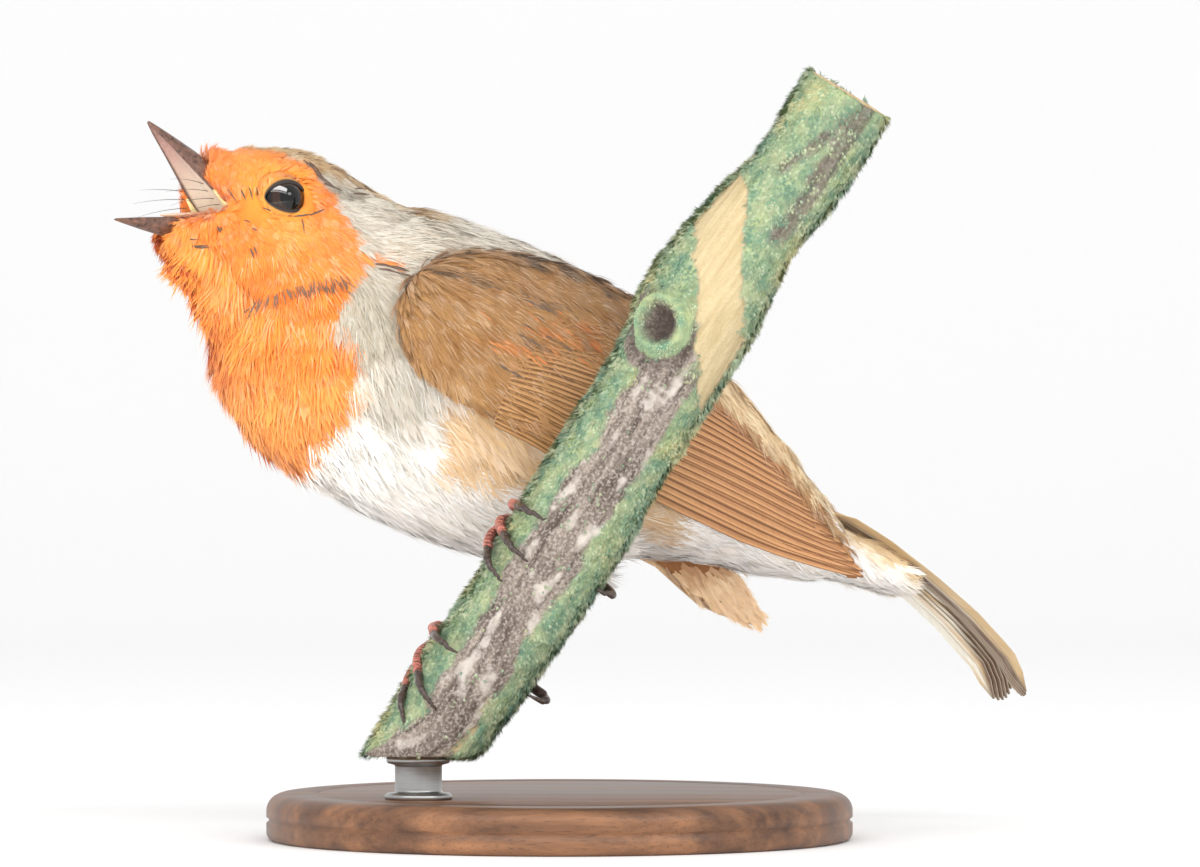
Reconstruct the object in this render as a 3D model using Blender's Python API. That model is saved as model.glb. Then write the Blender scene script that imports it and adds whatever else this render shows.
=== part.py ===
"""A European robin, life size, singing on a short cut length of branch held by a plain stand.

The bird is shaped in its own frame first: x runs back along it, z is up, its left side is -y.
stand_bird then turns its neck, rolls it and yaws it over the branch. All sizes are in
millimetres until a mesh is made. +Z is up and the floor is z = 0.
"""

import math

import bmesh
import bpy
import numpy as np
from mathutils.bvhtree import BVHTree

MM = 0.001
GAP = 0.3
SIDES = 24

# How the bird stands.
YAW_DEG = 15.0
ROLL_DEG = 10.0
NECK_TURN_DEG = 12.0
TURN_STARTS = 62.0
TURN_ENDS = 80.0
PIVOT = np.array([-5.0, 0.0, 55.0])
NECK_X = -29.0
BODY_AXIS = np.array([-0.86, 0.0, 0.51])
BIRD_Y = 9.0

# Sections of the feathered body from rump to forehead:
# centre x, centre z, half depth, half width, lean in degrees.
BODY_SECTIONS = np.array([
    [35.5, 37.7, 4.7, 6.2, 29.0],
    [29.1, 41.2, 7.3, 9.2, 28.5],
    [19.8, 46.4, 11.6, 12.6, 28.4],
    [9.8, 50.3, 16.0, 15.3, 29.6],
    [-0.5, 53.6, 19.5, 17.2, 29.1],
    [-10.6, 57.6, 20.6, 17.8, 29.5],
    [-19.8, 61.7, 20.4, 17.4, 31.0],
    [-27.5, 65.5, 19.4, 16.2, 33.7],
    [-32.8, 69.3, 17.6, 14.2, 37.7],
    [-36.3, 73.2, 15.6, 12.2, 40.5],
    [-38.2, 76.2, 13.8, 11.0, 41.4],
    [-40.7, 78.9, 12.4, 10.3, 41.0],
    [-43.8, 80.8, 10.9, 9.3, 40.7],
    [-47.4, 81.9, 9.0, 7.2, 38.7],
    [-50.1, 82.4, 7.4, 4.8, 37.3],
    [-52.0, 82.5, 5.8, 3.2, 36.0],
    [-53.0, 82.6, 3.4, 1.9, 36.0],
])
TRUNK_TO = 8.0
NECK_TO = 10.2
BODY_ROUND = 2.15

# Bill: the corner of the gape and the two tips, and rows along each mandible of
# distance from the gape, half width, height off the cutting edge.
GAPE = np.array([-46.6, 79.3])
UPPER_TIP = np.array([-57.0, 91.8])
LOWER_TIP = np.array([-62.4, 79.0])
UPPER_ROWS = [(1.2, 4.0, 2.6), (3.5, 3.6, 3.2), (6.0, 3.0, 3.3), (8.5, 2.3, 3.0), (11.0, 1.6, 2.2),
              (13.5, 0.95, 1.3), (15.3, 0.5, 0.6), (16.2, 0.2, 0.22)]
LOWER_ROWS = [(1.2, 3.9, 1.7), (3.5, 3.4, 2.0), (6.0, 2.7, 2.1), (8.5, 2.1, 1.9), (11.0, 1.45, 1.4),
              (13.0, 0.9, 0.9), (14.7, 0.45, 0.45), (15.6, 0.2, 0.2)]
MOUTH_DEPTH = 2.4
TONGUE_ROWS = [(2.2, 0.7, 0.3, 0.75), (4.0, 1.15, 0.35, 0.75), (6.5, 0.9, 0.3, 0.65), (8.8, 0.3, 0.2, 0.6)]

EYE_CENTRE = (-42.2, 7.1, 81.0)
EYE_RADIUS = 3.5

# Folded wing: bend, upper edge and lower edge seen square from the side, and its thickness.
WING_UPPER = [(-27.5, 67.0), (-24.0, 71.6), (-17.0, 73.8), (-8.5, 73.4), (0.5, 71.2), (9.0, 66.6),
              (17.5, 60.0), (25.5, 51.6), (32.5, 42.6), (38.6, 34.0)]
WING_LOWER = [(-27.5, 63.0), (-25.6, 58.6), (-19.5, 54.0), (-10.5, 49.2), (-1.5, 45.0), (8.0, 41.2),
              (17.0, 38.2), (25.0, 35.8), (32.0, 33.8), (38.0, 31.6)]
WING_THICK = [1.4, 2.1, 2.4, 2.4, 2.3, 2.1, 1.8, 1.5, 1.2, 0.9]
WING_LEAST_OUT = 7.2
RIGHT_WING_STANDS_OFF = 11.8
RIGHT_WING_DROOP_DEG = 5.0
RIGHT_WING_FORWARD = 3.0
WING_SHOULDER = np.array([-24.0, 66.0])

# Round one cut through a wing: share of the way from its upper edge to its lower, share of its thickness.
WING_RING = [(0.0, 0.5), (0.03, 0.9), (0.2, 1.0), (0.4, 1.0), (0.6, 1.0), (0.8, 1.0), (0.97, 0.9),
             (1.0, 0.5), (0.97, 0.05), (0.8, 0.0), (0.6, 0.0), (0.4, 0.0), (0.2, 0.0), (0.03, 0.05)]

# Tail with its coverts: distance back, half depth, half width, how far it hangs below the line.
TAIL_ROWS = [(0.0, 4.2, 5.9, -0.1), (5.0, 3.2, 6.2, -1.6), (10.0, 2.3, 6.5, -2.7), (15.5, 1.4, 6.7, -3.2),
             (21.0, 0.95, 7.0, -2.9), (27.0, 0.8, 7.4, -1.7), (31.5, 0.7, 7.7, 0.0), (33.8, 0.55, 7.4, 1.2)]
TAIL_DROP_DEG = 34.5
TAIL_ROOT_LEAN_DEG = 29.0

# Branch: rows of x, y, z, radius from the foot to the top.
BRANCH_ROWS = np.array([
    [-17.9, -15.5, 11.6, 5.9],
    [-11.9, -16.5, 20.5, 6.4],
    [-6.5, -17.3, 27.8, 6.6],
    [-1.6, -18.1, 35.3, 6.9],
    [3.1, -18.9, 43.2, 6.7],
    [6.9, -19.6, 49.8, 6.7],
    [11.6, -20.4, 57.3, 6.7],
    [15.3, -21.0, 63.2, 6.8],
    [17.9, -21.5, 68.6, 7.4],
    [21.7, -22.2, 74.7, 6.6],
    [25.6, -22.8, 80.2, 5.9],
    [29.9, -23.4, 84.8, 5.7],
    [36.6, -24.5, 95.5, 5.5],
])
KNOT_AT = 64.0
KNOT_ROUND_DEG = 27.0
KNOT_RADIUS = 4.2
BRANCH_SIDES = 20

# Feet: where each holds the branch (distance up it, angle round it from the front over the
# bird's left), and for every toe its length along the branch and the angles it wraps.
FEET = {
    "left": {"up": 33.5, "heel": (6.0, 1.5, 41.0), "hallux": (32.8, 246.0),
             "toes": {"inner": (28.8, 66.0), "middle": (31.6, 56.0), "outer": (35.6, 66.0)}},
    "right": {"up": 17.5, "heel": (1.0, 2.0, 38.0), "hallux": (16.0, 246.0),
              "toes": {"inner": (16.8, 68.0), "middle": (11.2, 60.0), "outer": (7.8, 76.0)}},
}
FOOT_ROUND_DEG = 160.0
TOE_RADIUS = 0.82
TARSUS_RADIUS = 0.9
CLAW_LENGTH = 5.2
THIGH_SHOWS = 4.0

# Stand.
BASE_RADIUS = 38.0
BASE_HEIGHT = 6.0
ROD_RADIUS = 3.0


def clear_scene():
    for obj in list(bpy.data.objects):
        bpy.data.objects.remove(obj, do_unlink=True)


def material(name, color, roughness=0.6, metallic=0.0):
    made = bpy.data.materials.new(name)
    made.use_nodes = True
    shader = made.node_tree.nodes["Principled BSDF"]
    shader.inputs["Base Color"].default_value = (*color, 1.0)
    shader.inputs["Roughness"].default_value = roughness
    shader.inputs["Metallic"].default_value = metallic
    return made


def unit(vector):
    vector = np.asarray(vector, float)
    return vector / np.linalg.norm(vector)


def turned(points, axis, degrees, centre):
    """Points turned about an axis; degrees is one angle, or one for each point."""
    points = np.atleast_2d(np.asarray(points, float)) - centre
    axis = unit(axis)
    angle = np.radians(np.broadcast_to(degrees, len(points)))[:, None]
    along = (points @ axis)[:, None] * axis
    across = np.cross(axis, points)
    return points * np.cos(angle) + across * np.sin(angle) + along * (1 - np.cos(angle)) + centre


def smooth_step(values, low, high):
    t = np.clip((values - low) / (high - low), 0.0, 1.0)
    return t * t * (3 - 2 * t)


def stand_bird(points):
    """From the bird's own frame to where it stands: neck turned, body rolled, then yawed."""
    points = np.atleast_2d(np.asarray(points, float))
    forward = 0.6 * points[:, 2] - 0.8 * points[:, 0]
    share = smooth_step(forward, TURN_STARTS, TURN_ENDS)
    points = turned(points, [0, 0, 1], NECK_TURN_DEG * share, np.array([NECK_X, 0, 0]))
    points = turned(points, BODY_AXIS, ROLL_DEG, PIVOT)
    points = turned(points, [0, 0, 1], YAW_DEG, PIVOT)
    return points + [0.0, BIRD_Y, 0.0]


def curve_through(rows, at):
    """Catmull-Rom values of a table at a fractional row number."""
    rows = np.asarray(rows, float)
    at = float(np.clip(at, 0, len(rows) - 1))
    i = min(int(at), len(rows) - 2)
    t = at - i
    b, c = rows[i], rows[i + 1]
    a = rows[i - 1] if i > 0 else 2 * b - c
    d = rows[i + 2] if i + 2 < len(rows) else 2 * c - b
    square, cube = 2 * a - 5 * b + 4 * c - d, 3 * b - 3 * c + d - a
    return 0.5 * (2 * b + (c - a) * t + square * t**2 + cube * t**3)


def make_object(name, points, faces, look=None):
    """One object from points in millimetres and faces, with its normals facing out."""
    mesh = bpy.data.meshes.new(name)
    mesh.from_pydata((np.asarray(points) * MM).tolist(), [], faces)
    shape = bmesh.new()
    shape.from_mesh(mesh)
    bmesh.ops.remove_doubles(shape, verts=shape.verts, dist=1e-6)
    bmesh.ops.recalc_face_normals(shape, faces=shape.faces)
    if shape.calc_volume(signed=True) < 0:
        bmesh.ops.reverse_faces(shape, faces=shape.faces)
    shape.to_mesh(mesh)
    shape.free()
    mesh.shade_smooth()
    obj = bpy.data.objects.new(name, mesh)
    bpy.context.collection.objects.link(obj)
    if look is not None:
        mesh.materials.append(look)
    return obj


def loft(name, rings, look=None):
    """A closed body through rings of equal count, its two ends capped with a fan."""
    count = len(rings[0])
    points = [point for ring in rings for point in ring]
    points += [np.mean(rings[0], axis=0), np.mean(rings[-1], axis=0)]
    first_cap, last_cap = len(points) - 2, len(points) - 1
    last = (len(rings) - 1) * count
    faces = []
    for i in range(len(rings) - 1):
        for j in range(count):
            k = (j + 1) % count
            faces.append((i * count + j, i * count + k, (i + 1) * count + k, (i + 1) * count + j))
    for j in range(count):
        k = (j + 1) % count
        faces.append((first_cap, k, j))
        faces.append((last_cap, last + j, last + k))
    return make_object(name, points, faces, look)


def cut_away(obj, cutter):
    """Take a hidden cutter away from an object."""
    cutter.hide_render = True
    cutter.display_type = "WIRE"
    cut = obj.modifiers.new("cut_" + cutter.name, "BOOLEAN")
    cut.operation = "DIFFERENCE"
    cut.solver = "EXACT"
    cut.object = cutter


def body_frame(at):
    """Centre, up direction, half depth and half width of the body at a section number."""
    x, z, depth, width, lean = curve_through(BODY_SECTIONS, at)
    angle = math.radians(lean)
    return np.array([x, 0.0, z]), np.array([math.sin(angle), 0.0, math.cos(angle)]), depth, width


def body_point(at, angle, out=0.0):
    """A point on the body: angle is 0 at the back, positive toward its left; out is above it."""
    centre, up, depth, width = body_frame(at)
    power = 2.0 / BODY_ROUND
    c, s = math.cos(angle), math.sin(angle)
    rise = math.copysign(abs(c) ** power, c)
    side = math.copysign(abs(s) ** power, s)
    left = np.array([0.0, -1.0, 0.0])
    normal = unit(up * rise / depth + left * side / width + 1e-9)
    return centre + up * depth * rise + left * width * side + normal * out


def body_ring(at, out=0.0, sides=SIDES):
    return [body_point(at, 2 * math.pi * k / sides, out) for k in range(sides)]


def body_part(name, start, end, steps, look, out=0.0):
    rings = [stand_bird(body_ring(start + (end - start) * k / steps, out)) for k in range(steps + 1)]
    return loft(name, rings, look)


def bill_ring(tip, row, upper, grow, sides=12):
    """One ring of a mandible: a rounded back over a hollowed inner face."""
    along = unit(tip - GAPE)
    out = np.array([along[1], -along[0]])
    if (out[1] < 0) == upper:
        out = -out
    distance, half_width, height = row
    points = []
    for k in range(sides):
        angle = 2 * math.pi * k / sides
        side = (half_width + grow) * math.cos(angle)
        rise = math.sin(angle)
        hollow = 0.0 if grow else 0.25 * height * rise * rise
        off = (height + grow) * rise if rise >= 0 else grow * rise + hollow
        place = GAPE + along * distance + out * (off + 0.1)
        points.append((place[0], side, place[1]))
    return stand_bird(points)


def mandible(name, tip, rows, upper, look=None, grow=0.0):
    rings = [bill_ring(tip, (d + (grow if d > 14 else 0), w, h), upper, grow) for d, w, h in rows]
    if grow:
        d, w, h = rows[0]
        rings.insert(0, bill_ring(tip, (d - grow, w, h), upper, grow))
    return loft(name, rings, look)


def gape_wedge(name):
    """The space between the mandibles, deepest in the middle and closing toward the cheeks."""
    up, low = unit(UPPER_TIP - GAPE), unit(LOWER_TIP - GAPE)
    middle = unit(up + low)
    rings = []
    for y in (-12.0, -4.3, -2.2, 0.0, 2.2, 4.3, 12.0):
        back = GAPE + middle * (max(abs(y) - 4.3, 0.0) - MOUTH_DEPTH * max(1 - abs(y) / 4.3, 0.0) - 0.3)
        corners = (back, back + up * 21.0, back + low * 21.0)
        rings.append(stand_bird([(c[0], y, c[1]) for c in corners]))
    return loft(name, rings)


def mouth_lining(look):
    """Gape skin from corner to corner, set deeper in the middle."""
    up, low = unit(UPPER_TIP - GAPE), unit(LOWER_TIP - GAPE)
    middle = unit(up + low)
    rings = []
    for y in np.linspace(-3.7, 3.7, 9):
        depth = MOUTH_DEPTH * (1 - abs(y) / 4.3)
        back = GAPE + middle * (0.35 - depth)
        reach = 1.6 + 0.9 * (y / 3.7) ** 2
        hollow = back + middle * reach * 0.35
        corners = (back, back + up * reach, hollow, back + low * reach)
        rings.append(stand_bird([(p[0], y, p[1]) for p in corners]))
    return loft("mouth", rings, look)


def tongue(look):
    """A narrow pointed tongue lying over the lower mandible."""
    low = unit(LOWER_TIP - GAPE)
    over = np.array([0.0, 1.0])
    rings = []
    for distance, half_width, half_depth, lift in TONGUE_ROWS:
        place = GAPE + low * distance + over * lift
        ring = [(place[0], half_width * math.cos(a), place[1] + half_depth * math.sin(a))
                for a in np.arange(8) * math.pi / 4]
        rings.append(stand_bird(ring))
    return loft("tongue", rings, look)


def ball(name, centre, radius, look=None, sides=14, levels=8):
    """A round ball as a loft, its poles toward the bird's sides."""
    rings = []
    for k in range(1, levels):
        tilt = math.pi * k / levels
        y = -math.cos(tilt) * radius
        r = math.sin(tilt) * radius
        ring = [(centre[0] + r * math.cos(2 * math.pi * j / sides), centre[1] + y,
                 centre[2] + r * math.sin(2 * math.pi * j / sides)) for j in range(sides)]
        rings.append(stand_bird(ring))
    return loft(name, rings, look)


def head(look):
    made = body_part("head", NECK_TO + 0.1, 16.0, 9, look)
    cut_away(made, gape_wedge("cut_gape"))
    cut_away(made, mandible("cut_bill_upper", UPPER_TIP, UPPER_ROWS, True, grow=GAP))
    cut_away(made, mandible("cut_bill_lower", LOWER_TIP, LOWER_ROWS, False, grow=GAP))
    x, y, z = EYE_CENTRE
    cut_away(made, ball("cut_eye_left", (x, -y, z), EYE_RADIUS + GAP))
    cut_away(made, ball("cut_eye_right", (x, y, z), EYE_RADIUS + GAP))
    return made


def wing_outline(droop_deg, forward):
    """Upper and lower edges seen from the side, lowered about the shoulder and slid forward."""
    angle = math.radians(-droop_deg)
    turn = np.array([[math.cos(angle), -math.sin(angle)], [math.sin(angle), math.cos(angle)]])
    edges = []
    for edge in (WING_UPPER, WING_LOWER):
        lowered = (np.array(edge) - WING_SHOULDER) @ turn.T + WING_SHOULDER
        edges.append(lowered - [forward, -0.55 * forward])
    return edges


def on_body(x, z, side, out, stands_off):
    """The point of the body's side at x and z. Low down, the wing may stand off from the belly."""
    low, high = -0.8, 9.0
    for _ in range(40):
        at = (low + high) / 2
        centre, up, depth, width = body_frame_beyond(at)
        ahead = np.cross(up, [0, 1, 0])
        if (np.array([x, 0, z]) - centre) @ ahead > 0:
            low = at
        else:
            high = at
    share = np.clip((np.array([x, 0, z]) - centre) @ up / (depth + out), -0.985, 0.985)
    around = (1 - abs(share) ** BODY_ROUND) ** (1 / BODY_ROUND)
    least = WING_LEAST_OUT + (stands_off - WING_LEAST_OUT) * smooth_step(-share, -0.2, 0.5)
    return np.array([x, side * max(around * (width + out), least + out), z])


def body_frame_beyond(at):
    """body_frame carried on in a straight line behind the rump."""
    if at >= 0:
        return body_frame(at)
    centre, up, depth, width = body_frame(0.0)
    step = BODY_SECTIONS[0] - BODY_SECTIONS[1]
    return centre + np.array([step[0], 0, step[1]]) * -at, up, depth, width


def wing(name, side, droop_deg, forward, stands_off, look):
    """A folded wing lying on the body: an outer and an inner sheet joined round their edge."""
    upper, lower = wing_outline(droop_deg, forward)
    rings = []
    for k in range(len(WING_THICK) * 2 - 1):
        at = k / 2
        top, bottom = curve_through(upper, at), curve_through(lower, at)
        thick = max(float(curve_through(np.array(WING_THICK)[:, None], at)[0]), 0.8)
        ring = []
        for share, rise in WING_RING:
            x, z = top + (bottom - top) * share
            ring.append(on_body(x, z, side, GAP + 0.15 + rise * thick, stands_off))
        rings.append(stand_bird(ring))
    return loft(name, rings, look)



def tail(look):
    """Folded tail and its coverts, one body behind the rump."""
    drop = math.radians(TAIL_DROP_DEG)
    back = np.array([math.cos(drop), 0.0, -math.sin(drop)])
    start = body_frame(0.0)[0] + back * 0.4
    rings = []
    for distance, depth, width, hang in TAIL_ROWS:
        leans_on = min(distance / 10.0, 1.0)
        lean = math.radians(TAIL_ROOT_LEAN_DEG + (TAIL_DROP_DEG - TAIL_ROOT_LEAN_DEG) * leans_on)
        up = np.array([math.sin(lean), 0.0, math.cos(lean)])
        ring = []
        for k in range(16):
            angle = 2 * math.pi * k / 16
            c, s = math.cos(angle), math.sin(angle)
            rise = math.copysign(abs(c) ** 0.85, c) * depth
            place = start + back * distance + up * (rise - hang)
            ring.append(place + np.array([0.0, math.copysign(abs(s) ** 0.75, s) * width, 0.0]))
        rings.append(stand_bird(ring))
    return loft("tail", rings, look)


def branch_lengths():
    steps = np.linalg.norm(np.diff(BRANCH_ROWS[:, :3], axis=0), axis=1)
    return np.concatenate([[0], np.cumsum(steps)])


def branch_at(distance):
    """Centre, direction, front direction, left direction and radius of the branch."""
    lengths = branch_lengths()
    row = float(np.interp(distance, lengths, np.arange(len(lengths))))
    centre, radius = np.split(curve_through(BRANCH_ROWS, row), [3])
    before, after = curve_through(BRANCH_ROWS, row - 0.4)[:3], curve_through(BRANCH_ROWS, row + 0.4)[:3]
    along = unit(after - before)
    front = unit(np.array([0.0, -1.0, 0.0]) + along * along[1])
    left = np.cross(front, along)
    if left[0] > 0:
        left = -left
    return centre, along, front, left, float(radius[0])


def on_branch(distance, degrees, off):
    """A point this far off the bark, this far up and this far round from the front."""
    centre, _, front, left, radius = branch_at(distance)
    angle = math.radians(degrees)
    return centre + (front * math.cos(angle) + left * math.sin(angle)) * (radius + off)


def perch(look):
    """The cut length of branch, with a round knot on its front and a flat foot."""
    rings = []
    total = branch_lengths()[-1]
    for distance in np.linspace(0.0, total, 24):
        centre, along, front, left, radius = branch_at(distance)
        ring = []
        for k in range(BRANCH_SIDES):
            angle = 360.0 * k / BRANCH_SIDES
            wobble = 0.12 * math.sin(3 * math.radians(angle) + distance * 0.13)
            wobble += 0.14 * math.sin(2 * math.radians(angle) - distance * 0.21)
            away = math.radians((angle - (KNOT_ROUND_DEG % 360) + 180) % 360 - 180) * radius
            near = math.exp(-((away / KNOT_RADIUS) ** 2 + ((distance - KNOT_AT) / KNOT_RADIUS) ** 2))
            ring.append(on_branch(distance, angle, wobble + 1.0 * near))
        rings.append(ring)
    foot = BRANCH_ROWS[0][2]
    direction = branch_at(0.0)[1]
    rings[0] = [point + direction * ((foot - point[2]) / direction[2]) for point in rings[0]]
    return loft("perch", rings, look)


def tube(name, path, radii, look=None, sides=10):
    """A round body along a path, one radius for each point."""
    path = [np.asarray(p, float) for p in path]
    rings = []
    reference = np.array([0.3, 0.2, 0.93])
    for i, point in enumerate(path):
        along = unit(path[min(i + 1, len(path) - 1)] - path[max(i - 1, 0)])
        first = unit(reference - along * (reference @ along))
        second = np.cross(along, first)
        angles = np.arange(sides) * 2 * math.pi / sides
        rings.append([point + radii[i] * (math.cos(a) * first + math.sin(a) * second) for a in angles])
        reference = first
    return loft(name, rings, look)


def toe_path(up, toe, steps=7):
    """Along the bark from the ball of the foot to the root of the claw."""
    end_up, end_round = toe
    path = []
    for k in range(steps):
        share = k / (steps - 1)
        lift = TOE_RADIUS * (1.0 + 0.1 * math.sin(math.pi * share)) + GAP
        angle = FOOT_ROUND_DEG + (end_round - FOOT_ROUND_DEG) * share
        path.append(on_branch(up + (end_up - up) * share, angle, lift))
    return path


def toe_radii(steps=7):
    return [TOE_RADIUS * (1.0 - 0.3 * k / (steps - 1)) for k in range(steps)]


def claw(name, up, toe, look):
    """A curved claw that carries on from the toe and bends back to the bark."""
    end_up, end_round = toe
    turn = 1.0 if end_round > FOOT_ROUND_DEG else -1.0
    slide = (end_up - up) / abs(end_round - FOOT_ROUND_DEG)
    radius = branch_at(end_up)[4] + TOE_RADIUS
    sweep = math.degrees(CLAW_LENGTH / radius)
    rows = ((0.12, 0.55, 0.0), (0.35, 0.5, 0.35), (0.6, 0.4, 0.4), (0.82, 0.28, 0.0), (1.0, 0.13, -0.45))
    path, radii = [], []
    for share, thick, lift in rows:
        angle = sweep * share
        path.append(on_branch(end_up + slide * angle, end_round + turn * angle, TOE_RADIUS + GAP + lift))
        radii.append(thick)
    return tube(name, path, radii, look, sides=8)


def join_to(obj, other):
    """Add a hidden body to an object."""
    other.hide_render = True
    other.display_type = "WIRE"
    join = obj.modifiers.new("join_" + other.name, "BOOLEAN")
    join.operation = "UNION"
    join.solver = "EXACT"
    join.object = other


def foot(side, look, claw_look):
    """Three toes forward and one back round the branch, on a small ball."""
    hold = FEET[side]
    up = hold["up"]
    hub = on_branch(up, FOOT_ROUND_DEG, TOE_RADIUS + GAP + 0.25)
    made = plain_ball(f"foot_{side}", hub, TOE_RADIUS + 0.25, look)
    toes = {**hold["toes"], "hallux": hold["hallux"]}
    for toe_name, toe in toes.items():
        join_to(made, tube(f"toe_{side}_{toe_name}", toe_path(up, toe), toe_radii(), look))
        claw(f"claw_{side}_{toe_name}", up, toe, claw_look)


def plain_ball(name, centre, radius, look, sides=12, levels=6):
    """A ball already in its place, its poles up and down."""
    rings = []
    for k in range(1, levels):
        tilt = math.pi * k / levels
        ring = []
        for angle in np.arange(sides) * 2 * math.pi / sides:
            x, y = math.sin(tilt) * math.cos(angle), math.sin(tilt) * math.sin(angle)
            ring.append(centre + radius * np.array([x, y, -math.cos(tilt)]))
        rings.append(ring)
    return loft(name, rings, look)


def leg(side, trunk, skin_look, feather_look):
    """The bare tarsus from the ball of the foot up to the feathered thigh at the belly."""
    hold = FEET[side]
    hub = on_branch(hold["up"], FOOT_ROUND_DEG, TOE_RADIUS + GAP + 0.25)
    toward = unit(np.array(hold["heel"]) + [0.0, BIRD_Y, 0.0] - hub)
    reach = reach_of(trunk, hub, toward)
    knee = min(reach - 0.5, max(reach - THIGH_SHOWS, reach * 0.5))
    start = TOE_RADIUS + 0.25 + TARSUS_RADIUS * 0.25 + GAP
    tube(f"tarsus_{side}", [hub + toward * d for d in np.linspace(start, knee - GAP, 5)],
         [TARSUS_RADIUS] * 5, skin_look)
    rows = ((0.0, 1.3), (0.7, 2.1), (2.2, 3.0), (4.5, 3.8), (8.0, 4.6))
    thigh = tube(f"thigh_{side}", [hub + toward * (knee + d) for d, _ in rows], [r for _, r in rows],
                 feather_look, sides=14)
    cut_away(thigh, body_part(f"cut_trunk_{side}", 0.0, TRUNK_TO, 12, None, out=GAP))


def reach_of(trunk, start, toward):
    """How far from a point the trunk's surface lies."""
    corners = [vertex.co for vertex in trunk.data.vertices]
    tree = BVHTree.FromPolygons(corners, [face.vertices[:] for face in trunk.data.polygons])
    hit = tree.ray_cast(start * MM, toward)
    return hit[3] / MM


def stand(look, rod_look):
    """A turned base with a flat underside, and a rod up to the flat foot of the branch."""
    foot_x, foot_y, foot_z = BRANCH_ROWS[0][:3]
    profile = [(BASE_RADIUS - 0.6, 0.0), (BASE_RADIUS, 0.6), (BASE_RADIUS, BASE_HEIGHT - 1.4),
               (BASE_RADIUS - 0.4, BASE_HEIGHT - 0.5), (BASE_RADIUS - 1.4, BASE_HEIGHT)]
    angles = np.arange(48) * 2 * math.pi / 48
    rings = [[(r * math.cos(a), r * math.sin(a), z) for a in angles] for r, z in profile]
    base = loft("stand_base", rings, look)
    base.data.shade_flat()
    ends = (BASE_HEIGHT + GAP, foot_z - GAP)
    rod_angles = np.arange(20) * 2 * math.pi / 20
    rings = [[(foot_x + ROD_RADIUS * math.cos(a), foot_y + ROD_RADIUS * math.sin(a), z) for a in rod_angles]
             for z in ends]
    loft("stand_rod", rings, rod_look)


def main():
    clear_scene()
    breast = material("breast_feathers", (0.80, 0.33, 0.08), 0.85)
    back = material("back_feathers", (0.30, 0.22, 0.14), 0.85)
    belly = material("belly_feathers", (0.75, 0.71, 0.64), 0.85)
    vane = material("flight_feathers", (0.28, 0.15, 0.07), 0.7)
    horn = material("bill_horn", (0.05, 0.035, 0.03), 0.35)
    gape = material("gape_skin", (0.80, 0.66, 0.42), 0.5)
    iris = material("eye_gloss", (0.01, 0.008, 0.007), 0.08)
    scale = material("leg_scales", (0.30, 0.11, 0.09), 0.5)
    nail = material("claw_horn", (0.04, 0.03, 0.03), 0.35)
    bark = material("mossy_bark", (0.14, 0.22, 0.13), 0.95)
    walnut = material("stand_walnut", (0.09, 0.05, 0.03), 0.4)
    steel = material("rod_steel", (0.35, 0.35, 0.35), 0.35, 1.0)

    trunk = body_part("trunk", 0.0, TRUNK_TO - 0.05, 16, belly)
    body_part("neck", TRUNK_TO, NECK_TO, 4, back)
    head(breast)
    mandible("bill_upper", UPPER_TIP, UPPER_ROWS, True, horn)
    mandible("bill_lower", LOWER_TIP, LOWER_ROWS, False, horn)
    mouth_lining(gape)
    tongue(gape)
    x, y, z = EYE_CENTRE
    ball("eye_left", (x, -y, z), EYE_RADIUS, iris)
    ball("eye_right", (x, y, z), EYE_RADIUS, iris)
    wing("wing_left", -1, 0.0, 0.0, WING_LEAST_OUT, vane)
    wing("wing_right", 1, RIGHT_WING_DROOP_DEG, RIGHT_WING_FORWARD, RIGHT_WING_STANDS_OFF, vane)
    tail(vane)
    perch(bark)
    for side in ("left", "right"):
        foot(side, scale, nail)
        leg(side, trunk, scale, belly)
    stand(walnut, steel)


main()
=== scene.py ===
"""The looks of a life-size European robin singing on a cut length of mossy branch, held by a turned stand.

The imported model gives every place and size. Lengths are in millimetres until a mesh is made. The bird's own
frame has x running back along it, z up and its left side at -y, before its neck is turned and its body is
rolled and yawed over the branch.
"""

import math

import bmesh
import bpy
import numpy as np
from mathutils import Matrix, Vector, noise
from mathutils.bvhtree import BVHTree


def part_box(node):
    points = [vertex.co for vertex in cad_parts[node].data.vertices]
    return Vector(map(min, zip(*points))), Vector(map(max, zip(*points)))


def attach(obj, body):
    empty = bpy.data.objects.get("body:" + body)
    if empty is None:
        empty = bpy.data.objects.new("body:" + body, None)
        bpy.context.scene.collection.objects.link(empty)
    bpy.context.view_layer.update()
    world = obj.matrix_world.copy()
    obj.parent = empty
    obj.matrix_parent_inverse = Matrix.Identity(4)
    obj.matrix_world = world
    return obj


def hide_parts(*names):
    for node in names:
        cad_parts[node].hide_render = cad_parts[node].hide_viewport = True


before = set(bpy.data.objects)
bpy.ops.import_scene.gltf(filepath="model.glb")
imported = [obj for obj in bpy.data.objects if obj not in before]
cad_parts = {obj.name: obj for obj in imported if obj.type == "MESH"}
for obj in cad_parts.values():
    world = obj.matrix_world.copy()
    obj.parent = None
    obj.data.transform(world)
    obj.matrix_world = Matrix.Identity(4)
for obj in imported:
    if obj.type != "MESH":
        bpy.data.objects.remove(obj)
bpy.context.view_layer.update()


# ---- Stand base -------------------------------------------------------------------------------
# A disc of walnut, turned on a lathe with a rounded foot, a fine bead and a softened top edge,
# then oiled and rubbed down. The rod is pressed into its top.

MM = 0.001
BASE_STEPS = 160
FOOT_CURVE, TOP_CURVE = 1.0, 2.2
BASE_BEAD = ((0.0, 2.2), (0.35, 2.45), (0.35, 2.8), (0.0, 3.05))
BASE_GROOVE = ((6.0, 0.0), (6.4, 0.25), (6.9, 0.0))


def node_box(node):
    """Lowest and highest corner of a solid in millimetres."""
    low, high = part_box(node)
    return np.array(low) / MM, np.array(high) / MM


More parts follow.
